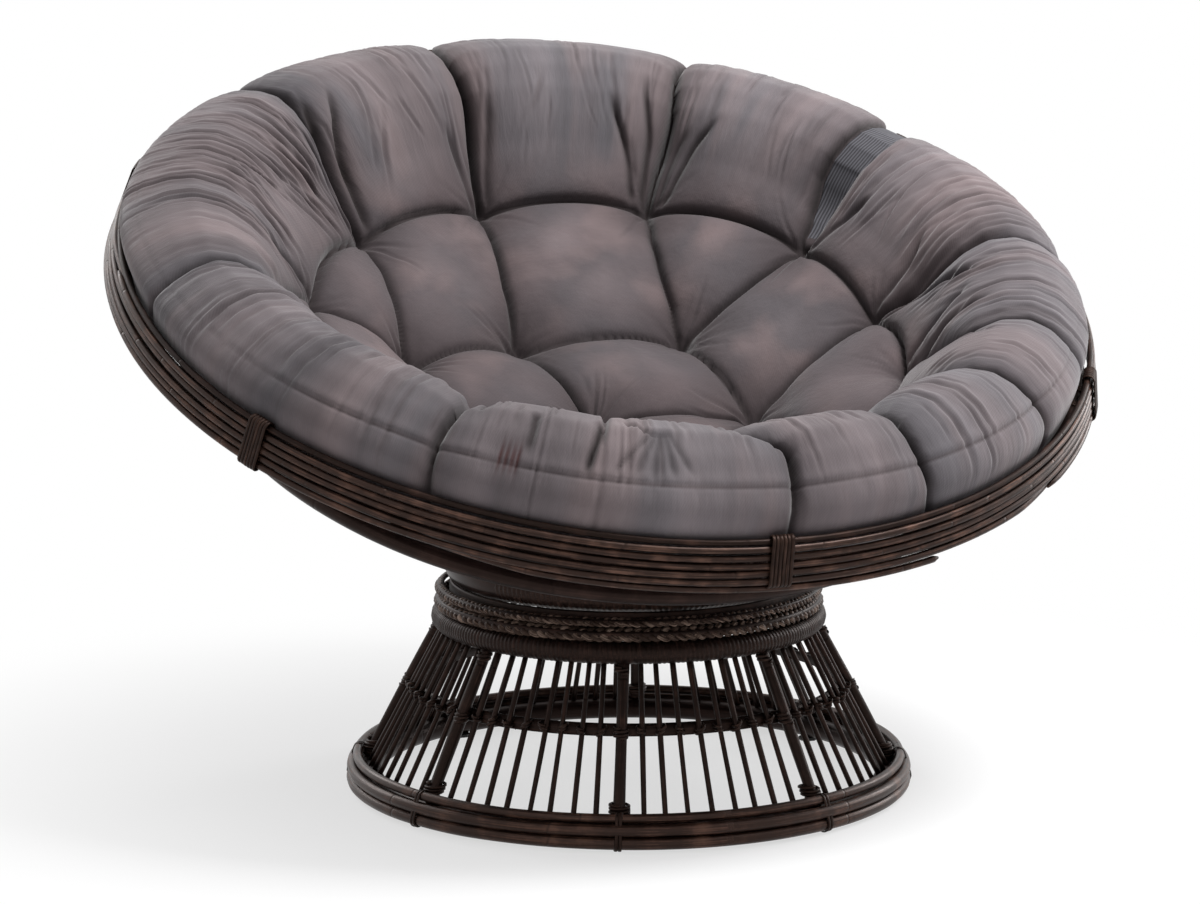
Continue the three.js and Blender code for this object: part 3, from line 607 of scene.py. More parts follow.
plaited_ring("braid_lower", 0.007, 0.0021, 44, 0.0036, deg(-35), 31)
plaited_ring("braid_upper", 0.005, 0.0015, 56, 0.0026, deg(-50), 35)
core_ring("braid_lower", 0.0042)
core_ring("braid_upper", 0.003)
build_neck_shade_strip()

# %% [markdown]
# The flared wall: eight legs and sixty-four thin stakes lean in from the floor hoop to the top
# hoop. Each stake is its own cane with its own small error, which is what makes hand work look
# like hand work. A flat hoop runs behind them at half height and is tied to each one.

# %% Stakes and their ties
bay_count, stakes_in_bay = 8, 8
leg_step = 2 * math.pi / bay_count
leg_low, leg_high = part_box("leg_1")
foot_z, head_z = leg_low[2], leg_high[2]
foot_radius, head_radius = 0.263, 0.1895
wall_lean = 0.53  # how far the wall comes in for each metre up
stake_radius = 0.0028
mid_outer, mid_low, mid_high = ring_of("mid_hoop")
mid_height = (mid_low + mid_high) / 2
mid_depth = 0.0085  # from the flat hoop's outside to its inner face


def wall_radius(height):
    share = (height - foot_z) / (head_z - foot_z)
    return foot_radius + share * (head_radius - foot_radius)


def rod(angle, radius, offset, seed, sides=8, rows=14):
    """One upright, with a slight bow and lean."""
    local = np.random.default_rng(seed)
    share = np.linspace(0, 1, rows)
    height = foot_z - 0.002 + share * (head_z - foot_z + 0.006)
    bow = local.normal(0, 0.0007) * np.sin(math.pi * share) + local.normal(0, 0.0005) * share
    turn = angle + (local.normal(0, 0.0012) * share + local.normal(0, 0.0008)) / wall_radius(height)
    girth = radius * (1 + 0.06 * np.sin(share * 5 + local.uniform(0, 6))) * local.uniform(0.93, 1.05)
    path = base_point(turn, wall_radius(height) + offset + bow, height)
    return sweep(path, unit(off_axis(angle)), girth, sides=sides)


def tie(angle, radius, seed, turns=2, strip=0.0016):
    """Split cane round an upright and the flat hoop behind it."""
    height = mid_height + 0.001 * math.sin(seed)
    slope = (seed % 2 - 0.5) * 0.9
    inner_face, outer_face = mid_outer - mid_depth, wall_radius(height) + radius
    outline = slot_outline((inner_face + 0.004, 0), (outer_face - 0.001, 0), 0.0035, 10)

    def place(a, b, c):
        return base_point(angle + (b + slope * c) / a, a, height + c + slope * b)

    return winding(outline, place, turns, strip * 2.1, strip, 0.0006, 0.0003)


def build_bay(bay):
    leg_angle = (bay + 0.5) * leg_step
    stake_step = leg_step / (stakes_in_bay + 1)
    angles = [leg_angle + (i + 1) * stake_step for i in range(stakes_in_bay)]
    stakes = [rod(angle, stake_radius, 0, 100 * bay + i) for i, angle in enumerate(angles)]
    piece = make_parts(f"stakes_{bay + 1}", stakes, "base", dark_cane)
    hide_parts(f"stake_panel_{bay + 1}")
    ties = [tie(angle, 0.003, 10 * bay + i) for i, angle in enumerate(angles)]
    make_parts(f"stake_ties_{bay + 1}", ties, "base", split_cane)


print("wall from", round(foot_z, 4), "to", round(head_z, 4), "m up")

# %% [markdown]
# A leg is a thicker upright between two bays. Split cane holds it at the foot, at half height
# and at the top, with a thick knot over the skirt canes. One more lashing goes round the skirt
# canes themselves, as a long slot.

# %% Legs and their lashings
leg_radius, leg_offset = 0.0058, 0.003
skirt_outer, skirt_low, _ = ring_of("skirt_cane_lower")
skirt_top_outer, _, skirt_high = ring_of("skirt_cane_top")
leg_lashings = [
    # height, turns, how far it stands off the leg, half its thickness: the last is the knot
    (foot_z + 0.006, 3, 0.0011, 0.0007), (head_z - 0.004, 2, 0.0011, 0.0007),
    (mid_height, 3, 0.0011, 0.0007), (skirt_high + 0.001, 3, 0.0032, 0.00175),
]
skirt_slot = slot_outline((skirt_outer - 0.0065, skirt_low + 0.006),
                          (skirt_top_outer - 0.0062, skirt_high - 0.0065), 0.0072, 18)


def build_leg(bay):
    angle = (bay + 0.5) * leg_step
    upright = rod(angle, leg_radius, leg_offset, 700 + bay, sides=14, rows=24)
    leg = make_parts(f"leg_cane_{bay + 1}", [upright], "base", dark_cane)
    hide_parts(f"leg_{bay + 1}")
    lashings = []
    for height, turns, off, thick in leg_lashings:
        centre = wall_radius(height) + leg_offset

        def round_leg(a, b, c, centre=centre, height=height):
            return base_point(angle + b / centre, centre + a - c * wall_lean, height + c)

        outline = circle_outline(leg_radius + off)
        lashings.append(winding(outline, round_leg, turns, 0.0031, 0.0017, thick, 0.0004))

    def round_skirt(a, b, c):
        return base_point(angle + c / a, a, b)

    lashings.append(winding(skirt_slot, round_skirt, 2, 0.0038, 0.0018, 0.0006, 0.0004))
    make_parts(f"leg_lashings_{bay + 1}", lashings, "base", split_cane)


for bay in range(bay_count):
    build_bay(bay)
    build_leg(bay)
print("uprights", bay_count * (stakes_in_bay + 1))

# %% [markdown]
# The flat hoop behind the stakes is a broad strip of cane, thinner than it is tall, leaning
# with the wall. Its edges are rounded, so it is swept with a tall oval section.

# %% Flat hoop
mid_inset, mid_half_thickness, mid_half_height = 0.007, 0.0026, 0.0066
mid_angles = full_circle(ring_steps)
mid_path = base_point(mid_angles, mid_outer - mid_inset + wander(mid_angles, 0.0004, 41), mid_height)
down_wall = base_point(mid_angles, 0.0, 0.0) - base_point(mid_angles, 1.0, -1 / wall_lean)
mid_strip = sweep(mid_path, down_wall, mid_half_thickness, mid_half_height, sides=16, closed=True)
mid_piece = make_parts("mid_hoop_strip", [mid_strip], "base", dark_cane)
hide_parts("mid_hoop")
print("flat hoop's points", len(mid_strip[0]))

# %% [markdown]
# The bowl's frame: a thick rim hoop, ribs that curve down to a round hub, and a smooth hoop
# outside the ribs. The ribs lie on a sphere, so their places follow from the rim and the depth.

# %% The dish under the cushion
rim_low, rim_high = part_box("rim_hoop")
rim_hoop_half, rim_hoop_rise = 0.01, 0.006
rim_hoop_radius = (rim_high[0] - rim_low[0]) / 2 - rim_hoop_half
dish_depth = 0.1885
dish_drop = dish_depth + rim_hoop_rise
dish_sphere = (rim_hoop_radius ** 2 + dish_drop ** 2) / (2 * dish_drop)
dish_centre = dish_sphere - dish_depth
rib_count, rib_half = 6, 0.007
dish_hoop_half = 0.0092
hoop_on_ribs = 0.392  # the radius at which it crosses them
hoop_slope = math.asin(hoop_on_ribs / dish_sphere)
hoop_out = dish_sphere + rib_half + 0.009
hoop_radius = hoop_out * math.sin(hoop_slope)
hoop_level = dish_centre - hoop_out * math.cos(hoop_slope)


def bowl_ring(name, node, centre, level, half, seed):
    ring = uneven_ring(bowl_point, bowl_up, centre, level, half, 14, 0.0005, seed)
    piece = make_parts(name, [ring], "bowl", pole)
    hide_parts(node)


def rib_place(angle):
    """Points of a rib from the hub out to the rim hoop."""
    start = math.asin(0.044 / dish_sphere)
    end = math.asin(rim_hoop_radius / dish_sphere) - rib_half / dish_sphere
    slope = np.linspace(start, end, 60)
    return bowl_point(angle, dish_sphere * np.sin(slope), dish_centre - dish_sphere * np.cos(slope))


def coil_on(path_point, direction, radius, turns, strip=0.002, pitch=0.0038):
    """A short winding round a straight stretch of pole."""
    direction = unit(np.asarray(direction, float))
    helper = np.array([0.0, 0.0, 1.0]) if abs(direction[2]) < 0.8 else np.array([1.0, 0.0, 0.0])
    first = unit(np.cross(direction, helper))
    second = np.cross(direction, first)

    def place(a, b, c):
        return path_point + a[:, None] * first + b[:, None] * second + c[:, None] * direction

    return winding(circle_outline(radius + 0.0008), place, turns, pitch, strip, 0.0008, 0.0003)


def on_rim_hoop(angle):
    return bowl_point(angle, rim_hoop_radius, rim_hoop_rise)


def build_ribs():
    lashings = []
    for index, angle in enumerate(full_circle(rib_count)):
        path = rib_place(angle)
        girth = rib_half * np.linspace(1.04, 0.96, len(path))
        parts = [sweep(path, bowl_up, girth, sides=12)]
        rib = make_parts(f"rib_pole_{index + 1}", parts, "bowl", pole)
        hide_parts(f"dish_rib_{index + 1}")
        for side in (-1, 1):
            beside = angle + side * 0.016 / rim_hoop_radius
            tangent = on_rim_hoop(beside + 0.01) - on_rim_hoop(beside)
            lashings.append(coil_on(on_rim_hoop(beside), tangent, 0.0102, 3))
        near_hoop = np.argmin(np.linalg.norm(path - bowl_point(angle, hoop_radius, hoop_level), axis=1))
        lashings.append(coil_on(path[near_hoop], path[near_hoop + 1] - path[near_hoop], rib_half + 0.0006, 5))
    make_parts("dish_lashings", lashings, "bowl", split_cane)
    print("ribs", rib_count, "and coils", len(lashings))


bowl_ring("rim_hoop_pole", "rim_hoop", rim_hoop_radius, rim_hoop_rise, rim_hoop_half, seed=61)
bowl_ring("dish_hoop_pole", "dish_hoop", hoop_radius, hoop_level, dish_hoop_half, seed=62)
build_ribs()

# %% [markdown]
# The hub is a turned wooden disc with a round edge: a list of radius and height pairs, carried
# once round the bowl's axis. Three upright poles join the foot ring to the dish hoop, each with
# a coil of split cane near its foot and its head.

# %% Hub and struts
def build_hub(radius=0.048, half=0.005, soft=0.0022, steps=64):
    level = dish_sphere - math.sqrt(dish_sphere ** 2 - radius ** 2) - dish_depth
    edge = [(radius - soft + soft * math.cos(a), level + math.copysign(half - soft, a) + soft * math.sin(a))
            for a in np.linspace(-math.pi / 2, math.pi / 2, 9)]
    below, above = level - half, level + half
    profile = np.array([(0.0005, below), (0.02, below), *edge, (0.02, above), (0.0005, above)])
    angles = full_circle(steps)[:, None]
    points = bowl_point(angles, profile[:, 0], profile[:, 1])
    along = np.stack(np.broadcast_arrays(profile[:, 0] * 0.1, profile[:, 1], angles * 0.05), -1)
    faces = grid_quads(steps, len(profile), close_rows=True, close_columns=False)
    piece = make_piece("hub_disc", points.reshape(-1, 3), faces, "bowl", pole, along.reshape(-1, 3))
    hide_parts("dish_hub")
    print("hub's faces", len(faces))


def build_struts(rows=16, half=0.0094):
    lashings = []
    for name in ("bowl_strut_left", "bowl_strut_right", "bowl_strut_back"):
        low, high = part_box(name)
        x, y = (low[0] + high[0]) / 2, (low[1] + high[1]) / 2
        path = np.stack(np.broadcast_arrays(x, y, np.linspace(low[2] - 0.004, high[2] - 0.002, rows)), -1)
        piece = make_parts(name + "_pole", [sweep(path, (0, 1, 0), half, sides=14)], "bowl", pole)
        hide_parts(name)
        for level in (low[2] + 0.012, high[2] - 0.02):
            lashings.append(coil_on(np.array([x, y, level]), (0, 0, 1), half + 0.0004, 5))
    make_parts("strut_lashings", lashings, "bowl", split_cane)
    print("coils on the struts", len(lashings))


build_hub()
build_struts()

# %% [markdown]
# The rim is six thin canes laid side by side against the hoop. They lean inwards towards the
# top, and each wanders a little, so dark gaps open and close between them. A spare cane shows
# as well: it runs on under the band at the front and stops short on the sitter's left.

# %% The rim's canes
rim_cane_count = 6
rim_cane_half = 0.0037
cane_pitch = 0.0077
band_lean = deg(13.6)
lowest_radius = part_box("rim_cane_1")[1][0] - 0.0043
lowest_level = rim_cane_half
cane_starts = (41, 163, -140, 215, -96, 100)  # degrees round the rim, where each cane begins


def band_place(index):
    """Radius and level of a rim cane's middle."""
    radius = lowest_radius - index * cane_pitch * math.sin(band_lean)
    return radius, lowest_level + index * cane_pitch * math.cos(band_lean)


def build_rim_cane(index, start):
    topmost = index == rim_cane_count - 1
    radius, level = band_place(index)
    steps = ring_steps + 8
    share = np.linspace(0, 1, steps)
    angles = deg(start) + share * deg(366)
    tuck = np.clip((share - 0.965) / 0.03, 0, 1)  # the end goes behind the beginning
    sunk_in = 0.0018 if topmost else 0.0
    path = bowl_point(angles, radius + wander(angles, 0.0011, 70 + index) - sunk_in - tuck * 0.0065,
                      level + wander(angles, 0.0008, 170 + index) - sunk_in / 2)
    girth = rim_cane_half * (0.84 if topmost else 0.94) * (1 + wander(angles * 3, 0.03, 270 + index))
    girth = girth * np.clip(share * steps / 3 + 0.5, 0, 1)
    # The topmost cane takes the darker finish as painted shade, where the cushion overhangs the band.
    slot, material = ("dark_cane", dark_cane) if topmost else ("cane", cane)
    parts = [sweep(path, bowl_up, girth, sides=10)]
    piece = make_parts(f"rim_cane_long_{index + 1}", parts, "bowl", material, grain_start=index * 3.7)
    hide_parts(f"rim_cane_{index + 1}")


def build_loose_cane():
    """The spare end of a cane that runs on under the band and stops short at the front."""
    share = np.linspace(0, 1, 90)
    slide = np.clip(share / 0.25, 0, 1)
    radius, level = band_place(0)
    path = bowl_point(deg(-42) + share * deg(62.5), radius - 0.004 * (1 - slide),
                      level - 0.0072 * slide - 0.0026 * share ** 3)
    girth = 0.0034 * np.clip((1 - share) * 60 + 0.35, 0, 1)
    parts = [sweep(path, bowl_up, girth, sides=10)]
    make_parts("rim_cane_end", parts, "bowl", cane, grain_start=29.0)


for index, start in enumerate(cane_starts):
    build_rim_cane(index, start)
build_loose_cane()
print("lowest cane's radius", round(lowest_radius, 4), "and the topmost's", round(band_place(5)[0], 4))

# %% [markdown]
# Six bindings hold the canes together. Each is split cane wound six times round the whole band.

# %% The rim's bindings
def build_binding(number_from_front):
    low, high = (np.array(corner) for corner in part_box(f"rim_binding_{number_from_front}"))
    near = np.linspace(-math.pi, math.pi, 7201)
    from_middle = bowl_point(near, *band_place((rim_cane_count - 1) / 2)) - (low + high) / 2
    angle = near[np.argmin(np.linalg.norm(from_middle, axis=1))]
    outline = slot_outline(band_place(0), band_place(rim_cane_count - 1), rim_cane_half + 0.0021, 18)
    rim_radius = 0.5  # near enough to turn a shift along the rim into an angle

    def place(a, b, c):
        return bowl_point(angle + c / rim_radius, a, b)

    parts = [winding(outline, place, 6, 0.0037, 0.0020, 0.0009, 0.0002)]
    piece = make_parts(f"binding_{number_from_front}", parts, "bowl", split_cane)
    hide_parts(f"rim_binding_{number_from_front}")
    print("binding at", round(math.degrees(angle), 1), "degrees")


for index in range(6):
    build_binding(index + 1)

# %% [markdown]
# The cushion is one round bag of soft filling, drawn down by tufts. Thirteen creases cross its
# thick outer roll, and a net of creases divides the seat into domed tiles. It could be sewn and
# inflated by a cloth simulation, but the tufts and creases have to lie where they do on the
# real one, so the form is worked out directly: a smooth crown, let down by every crease.

# %% The cushion's plan
tuft_ring = 0.305
ring_on_crown = 0.279
roll_creases = [
    # angle at the tuft, angle at the rim, strength, how far the tuft is drawn in and down, swell to the next
    (-173, -174, 1.0, 0.014, 0.010, 0.008), (-139, -143, 1.0, 0.013, 0.0, 0.022),
    (-107, -86, 0.55, 0.007, 0.0, 0.022), (-72, -66, 0.25, 0, 0, 0.022), (-41, -39, 1.0, 0, 0, 0.02),
    (-22, -20, 0.13, 0, 0, 0.01), (-12, 2, 1.0, 0, 0, 0.022), (24, 20, 0.95, 0, 0, 0.022),
    (45, 42, 0.85, 0, 0, 0.022), (68, 58, 0.6, -0.016, -0.002, 0.034), (89, 84, 0.75, 0, -0.009, 0.004),
    (117, 119, 1.0, -0.008, -0.014, 0.006), (151, 151, 1.0, 0.004, 0.001, 0.003),
]
strap_crease, late_crease = 11, 6  # the strap lies in one, and one turns only near the rim
fades_after = {5: 0.185, 3: 0.14}  # the weak ones: how far past the tufts they reach
short_creases = [
    # angles where it starts and ends, how far past the tufts, strength, reach, slit
    (-36.5, -36, 0.05, 0.21, 0.18, 0.007, 0.0035),
    # the back and its corners
    (-137.5, -138.5, 0.0, 0.15, 0.12, 0.006, 0.0050), (-141.5, -149, 0.0, 0.17, 0.22, 0.008, 0.0050),
    (-139.5, -145.5, 0.02, 0.19, 0.10, 0.006, 0.0050), (-109, -104, 0.0, 0.10, 0.15, 0.008, 0.0035),
    (154, 162, 0.0, 0.13, 0.16, 0.008, 0.0040), (149, 142, 0.0, 0.12, 0.18, 0.008, 0.0045),
    (152, 156, 0.0, 0.16, 0.12, 0.006, 0.0045), (150, 147, 0.0, 0.10, 0.10, 0.006, 0.0035),
    # the sitter's left
    (67, 66, 0.0, 0.15, 0.16, 0.009, 0.0035), (70, 72, 0.0, 0.12, 0.16, 0.009, 0.0030),
    (67, 52, 0.0, 0.16, 0.14, 0.008, 0.0035), (90, 93, 0.0, 0.11, 0.14, 0.008, 0.0030),
    (88, 78, 0.0, 0.12, 0.16, 0.008, 0.0035), (88, 74, 0.02, 0.14, 0.12, 0.007, 0.0035),
    # the front roll: two short slits and a fan of pleats
    (-21.2, -22.0, 0.172, 0.245, 0.17, 0.006, 0.0058), (-29.2, -29.4, 0.175, 0.232, 0.12, 0.005, 0.0042),
    (-14.6, -19.4, 0.178, 0.240, 0.09, 0.005, 0.0020), (-14.2, -16.8, 0.178, 0.242, 0.10, 0.005, 0.0020),
    (-13.8, -14.4, 0.178, 0.244, 0.12, 0.005, 0.0025), (-13.4, -12.0, 0.178, 0.240, 0.10, 0.005, 0.0020),
    (-13.0, -10.0, 0.178, 0.235, 0.08, 0.005, 0.0017), (-18.0, -13.5, 0.166, 0.192, 0.08, 0.004, 0.0028),
    # beside the strap and at the back
    (115, 109, 0.0, 0.10, 0.14, 0.008, 0.0030), (-174.5, -178, 0.0, 0.12, 0.12, 0.007, 0.0030),
    (-171, -168, 0.0, 0.09, 0.12, 0.007, 0.0025),
]
inner_tufts = np.array([(-0.168, -0.062), (-0.039, -0.1), (0.126, -0.085), (0.148, 0.062), (0.064, 0.158),
                        (-0.077, 0.146), (-0.15, 0.07)])
middle_tuft = np.array((-0.005, 0.036))
runs_on_to = {0: 1, 1: 0, 2: 0, 3: 6, 4: 6, 5: 5, 6: 5, 7: 4, 8: 3, 10: 3, 11: 2, 12: 2}
joined_to_middle = (1, 3, 5, 6)
crease_angles = np.array([deg(crease[0]) for crease in roll_creases])
rim_angles = np.array([deg(crease[1]) for crease in roll_creases])
print("creases", len(roll_creases), "and short ones", len(short_creases))

# %% [markdown]
# The crown is the cushion's outline half way between two creases, from the middle of the seat
# over the roll and down to its foot. A table gives a few of its points, and it is smoothed into
# even rows. Turned round the bowl's axis, it gives the cushion's grid.

# %% The crown and the depth of a crease
crown = np.array([
    # radius, height over the rim's plane, how far a full crease goes in
    (0.0, -0.071, 0.046), (0.06, -0.070, 0.046), (0.12, -0.064, 0.046), (0.18, -0.050, 0.045),
    (0.225, -0.033, 0.043), (0.256, -0.018, 0.041), (0.279, -0.002, 0.040), (0.303, 0.014, 0.044),
    (0.325, 0.033, 0.050), (0.345, 0.055, 0.048), (0.368, 0.077, 0.040), (0.396, 0.093, 0.032),
    (0.426, 0.0985, 0.027), (0.452, 0.0915, 0.023), (0.471, 0.0785, 0.018), (0.485, 0.0655, 0.014),
    (0.4905, 0.0560, 0.012), (0.489, 0.044, 0.009), (0.4862, 0.030, 0.004), (0.4835, 0.0190, 0.0),
    (0.478, 0.0155, 0.0), (0.4742, 0.0105, 0.0), (0.470, 0.0055, 0.0), (0.465, 0.001, 0.0),
])
row_spacing = 0.003 if fine else 0.006
columns = 1600 if fine else 480


def smooth_rows(values):
    """The table's values at even steps along the profile, with rounded corners."""
    steps = np.linalg.norm(np.diff(crown[:, :2], axis=0), axis=1)
    length = np.concatenate([[0], np.cumsum(steps)])
    dense = np.arange(0, length[-1], 0.001)
    at = np.interp(dense, length, values)
    kernel = np.convolve(np.hanning(17), np.hanning(17))
    kernel /= kernel.sum()
    reach = len(kernel) // 2
    padded = np.concatenate([2 * at[0] - at[reach:0:-1], at, 2 * at[-1] - at[-2:-reach - 2:-1]])
    return np.interp(np.arange(0, dense[-1], row_spacing), dense, np.convolve(padded, kernel, "valid"))


crown_radius, crown_height, full_depth = (smooth_rows(crown[:, i]) for i in range(3))
crown_radius[0] = 0.0015
arc = np.arange(len(crown_radius)) * row_spacing
ring_row = int(np.argmin(np.abs(crown_radius - ring_on_crown)))
theta = full_circle(columns)[None]
R, H, D, S = (column[:, None] for column in (crown_radius, crown_height, full_depth, arc))
beyond = np.maximum(S - arc[ring_row], 0)  # how far past the tufts
print("cushion rows", len(arc), "columns", columns, "profile length", round(float(arc[-1]), 3))

# %% [markdown]
# Creases are drawn on the cloth laid flat. Seat creases are straight lines there. Roll creases
# follow an angle that shifts from the tuft to the rim. Every point needs its distance to each.

# %% The cloth laid flat
seat_share = np.clip(1 - R / ring_on_crown, 0, 1)
plan_a = R * np.sin(theta) + seat_share * middle_tuft[0]
plan_b = R * np.cos(theta) + seat_share * middle_tuft[1]


def ease(value, low, high):
    share = np.clip((value - low) / (high - low), 0, 1)
    return share * share * (3 - 2 * share)


def bell(value, width):
    return np.exp(-(value / width) ** 2)


def around(difference):
    return (difference + math.pi) % (2 * math.pi) - math.pi


flat_radius = np.hypot(plan_a, plan_b) + (tuft_ring - ring_on_crown) * ease(R, 0.13, ring_on_crown)
flat_radius = np.where(beyond > 0, tuft_ring + beyond, flat_radius)
plan_angle = np.arctan2(plan_a, plan_b)
flat_a, flat_b = flat_radius * np.sin(plan_angle), flat_radius * np.cos(plan_angle)


def line_distance(start, end):
    """Distance to a line in the flat cloth, and how far along it the nearest place is."""
    line = end - start
    from_a, from_b = flat_a - start[0], flat_b - start[1]
    share = np.clip((from_a * line[0] + from_b * line[1]) / float(line @ line), 0, 1)
    return np.hypot(from_a - share * line[0], from_b - share * line[1]), share


def outer_tuft(index):
    angle = crease_angles[index]
    return tuft_ring * np.array((math.sin(angle), math.cos(angle)))


def crease_line(index):
    """A roll crease's angle at each row: it shifts from tuft to rim, and wavers."""
    tuft, rim = roll_creases[index][:2]
    share = np.clip(beyond / 0.2, 0, 1) ** 1.3 if index == late_crease else ease(beyond, 0, 0.13) ** 0.7
    waver = 0.009 * np.sin(S * 29 + index * 2.1) * ease(beyond, 0.01, 0.06)
    return deg(tuft) + share * deg(rim - tuft) + waver


def strap_half(beyond_tuft):
    """Half the width of the strap and of the flat bed that it lies in."""
    return np.interp(beyond_tuft, (0, 0.03, 0.09, 0.15), (0.0015, 0.006, 0.017, 0.0215))


print("the cloth laid flat reaches", round(float(flat_radius.max()), 3))

# %% [markdown]
# Each crease pulls the surface down by a share that falls off with distance, and the shares are
# multiplied, so a tile between several creases comes out as one full dome with no ridges. A
# narrow slit marks the bottom, where two folds of cloth meet, and painted shade darkens a line along it.

# %% Creases
fullness = np.ones((len(arc), columns))
slits = np.zeros((len(arc), columns))
slit_shade = np.zeros((len(arc), columns))


def press(distance, strength, reach, slit, shade):
    """Draw a crease: a broad valley, a narrow slit at its bottom, and painted shade along the slit."""
    np.multiply(fullness, 1 - strength * (1 - np.sqrt(1 - np.exp(-distance / reach))), out=fullness)
    np.maximum(slits, slit * bell(distance, 0.0042), out=slits)
    np.maximum(slit_shade, shade * bell(distance, 0.0036), out=slit_shade)


def press_roll_crease(index):
    strength = weight = roll_creases[index][2]
    sideways = np.abs(around(theta - crease_line(index))) * R
    if index == strap_crease:
        sideways = np.maximum(sideways - strap_half(beyond), 0)
        strength = np.interp(beyond, (0.0, 0.05, 0.12, 0.2), (1.0, 0.9, 0.55, 0.45))
    at_foot = 1 - 0.5 * ease(beyond, 0.25, 0.29)
    if index in fades_after:
        at_foot = 1 - ease(beyond, fades_after[index] - 0.03, fades_after[index] + 0.02)
    depth = (0.25 + 0.75 * weight) * ease(beyond, -0.01, 0.01) * at_foot
    before = np.maximum(arc[ring_row] - S, 0)
    reach = 0.034 - 0.012 * ease(beyond, 0, 0.12)
    press(np.hypot(sideways, before), strength * at_foot, reach, 0.0075 * depth, 1.15 * depth)


def press_short_crease(start, end, first, last, strength, reach, slit):
    share = np.clip((beyond - first) / (last - first), 0, 1)
    ends = ease(share, 0, 0.15) * ease(-share, -1, -0.7)
    line = deg(start) + share * deg(end - start) + 0.004 * np.sin(S * 61 + start)
    press(np.abs(around(theta - line)) * R, strength * ends, reach, slit * ends, ends * slit / 0.005)


def press_seat_arc(index):
    """The roll meets the seat in arcs that swell outwards between the tufts."""
    start = crease_angles[index]
    span = around(crease_angles[(index + 1) % len(roll_creases)] - start)
    turned = around(plan_angle - start)
    inside = (turned > 0) & (turned < span)
    swollen = roll_creases[index][5] * span * np.sin(math.pi * np.clip(turned / span, 0, 1))
    press(np.where(inside, np.abs(S - arc[ring_row] - swollen), 1.0), 0.88, 0.030, 0.0045, 0.9)


seat_lines = [(inner_tufts[i], inner_tufts[(i + 1) % 7], 0.95) for i in range(7)]
seat_lines += [(outer_tuft(i), inner_tufts[j], 0.95 * min(1, roll_creases[i][2] + 0.3))
               for i, j in runs_on_to.items()]
seat_lines += [(inner_tufts[i], middle_tuft, 0.95) for i in joined_to_middle]
for start, end, strength in seat_lines:
    distance, share = line_distance(start, end)
    along_line = 1 - 0.16 * np.sin(math.pi * share)
    press(distance, strength * along_line, 0.038, 0.0045 * strength, 0.95 * strength * along_line)
for index in range(len(roll_creases)):
    press_roll_crease(index)
for crease in short_creases:
    press_short_crease(*crease)
for index in range(len(roll_creases)):
    press_seat_arc(index)
lowered = D * (1 - fullness) + slits
creases_only = lowered.copy()
print("seat creases", len(seat_lines), "deepest", round(float(lowered.max()), 4))

# %% [markdown]
# Tufts pull deepest. Cloth that is drawn to a point lies in short pleats round it. Each pleat
# is a groove with a raised lip on both sides, drawn one by one with a seeded generator.

# %% Tufts and pleats
tuft_points = [*inner_tufts, middle_tuft, *(outer_tuft(i) for i in range(len(roll_creases)))]
tuft_weights = [1.0] * 8 + [0.5 * crease[2] + 0.3 for crease in roll_creases]
# Painted shade: the deep middle of each crease, and below the tufts, pleats, folds, seam and threads, are
# marked here to be darkened in the colour.
crease_shade = np.clip((1 - fullness - 0.5) / 0.5, 0, 1) ** 1.6
pleat_draws = np.random.default_rng(19)
tuft_reach = 0.13
pleats_at_tuft = 13


def groove(side, width):
    """Across a fold: a groove with a lip on each side."""
    return bell(side, width) - 0.45 * bell(np.abs(side) - 2.1 * width, 1.1 * width)


def draw_tuft(point, weight):
    away = np.hypot(flat_a - point[0], flat_b - point[1])
    near = away < tuft_reach
    close = away[near]
    heading = np.arctan2(flat_a[near] - point[0], flat_b[near] - point[1])
    dip = weight * (0.009 * bell(close, 0.012) + 0.007 * bell(close, 0.034))
    # Painted shade at the tuft and along its pleats.
    dark = bell(close, 0.012)
    for _ in range(pleats_at_tuft):
        angle = pleat_draws.uniform(-math.pi, math.pi)
        length = pleat_draws.uniform(0.03, 0.085)
        width = pleat_draws.uniform(0.0015, 0.003)
        depth = weight * pleat_draws.uniform(0.0010, 0.0028)
        bend = pleat_draws.normal(0, 2.0)
        side = around(heading - angle - bend * close) * close
        fade = np.clip(1 - close / length, 0, 1) * np.clip(close / 0.008, 0, 1)
        dip += depth * fade * groove(side, width)
        dark = np.maximum(dark, 0.6 * fade * bell(side, width))
    lowered[near] += dip
    crease_shade[near] = np.maximum(crease_shade[near], dark)


for point, weight in zip(tuft_points, tuft_weights):
    draw_tuft(point, weight)
print("tufts", len(tuft_points))

# %% [markdown]
# Cloth that is gathered over a roll lies in long folds that run towards the nearest tuft. Zones
# round the roll say how many there are, and how wide and deep, and each fold is then drawn by
# the seeded generator in the rows and columns that it covers.

# %% Folds over the roll
fold_zones = [
    # from, to (degrees), how many, width, depth (mm), where it starts, how long (shares of the roll)
    (-142, -101, 105, (1.3, 3.0), (1.0, 3.4), (0.02, 0.45), (0.22, 0.6)),
    (-101, -87, 12, (3.0, 6.0), (0.6, 1.5), (0.05, 0.3), (0.3, 0.6)),
    (-85, -42, 44, (2.4, 6.0), (0.8, 2.4), (0.05, 0.4), (0.3, 0.65)),
    (-42, 60, 85, (1.4, 3.2), (0.6, 2.0), (0.2, 0.6), (0.14, 0.4)),
    (58, 112, 78, (1.5, 4.0), (0.7, 2.2), (0.03, 0.45), (0.22, 0.6)),
    (112, 186, 46, (1.4, 3.4), (0.5, 1.8), (0.03, 0.5), (0.15, 0.45)),
    (-174, -142, 22, (1.4, 3.4), (0.5, 1.8), (0.05, 0.5), (0.15, 0.45)),
    (-86, -43, 46, (1.2, 2.6), (0.8, 2.3), (0.05, 0.55), (0.14, 0.4)),
    (-38, -14, 16, (1.2, 2.4), (0.7, 1.9), (0.3, 0.6), (0.12, 0.3)),
]
fold_draws = np.random.default_rng(23)
roll_rows = len(arc) - ring_row


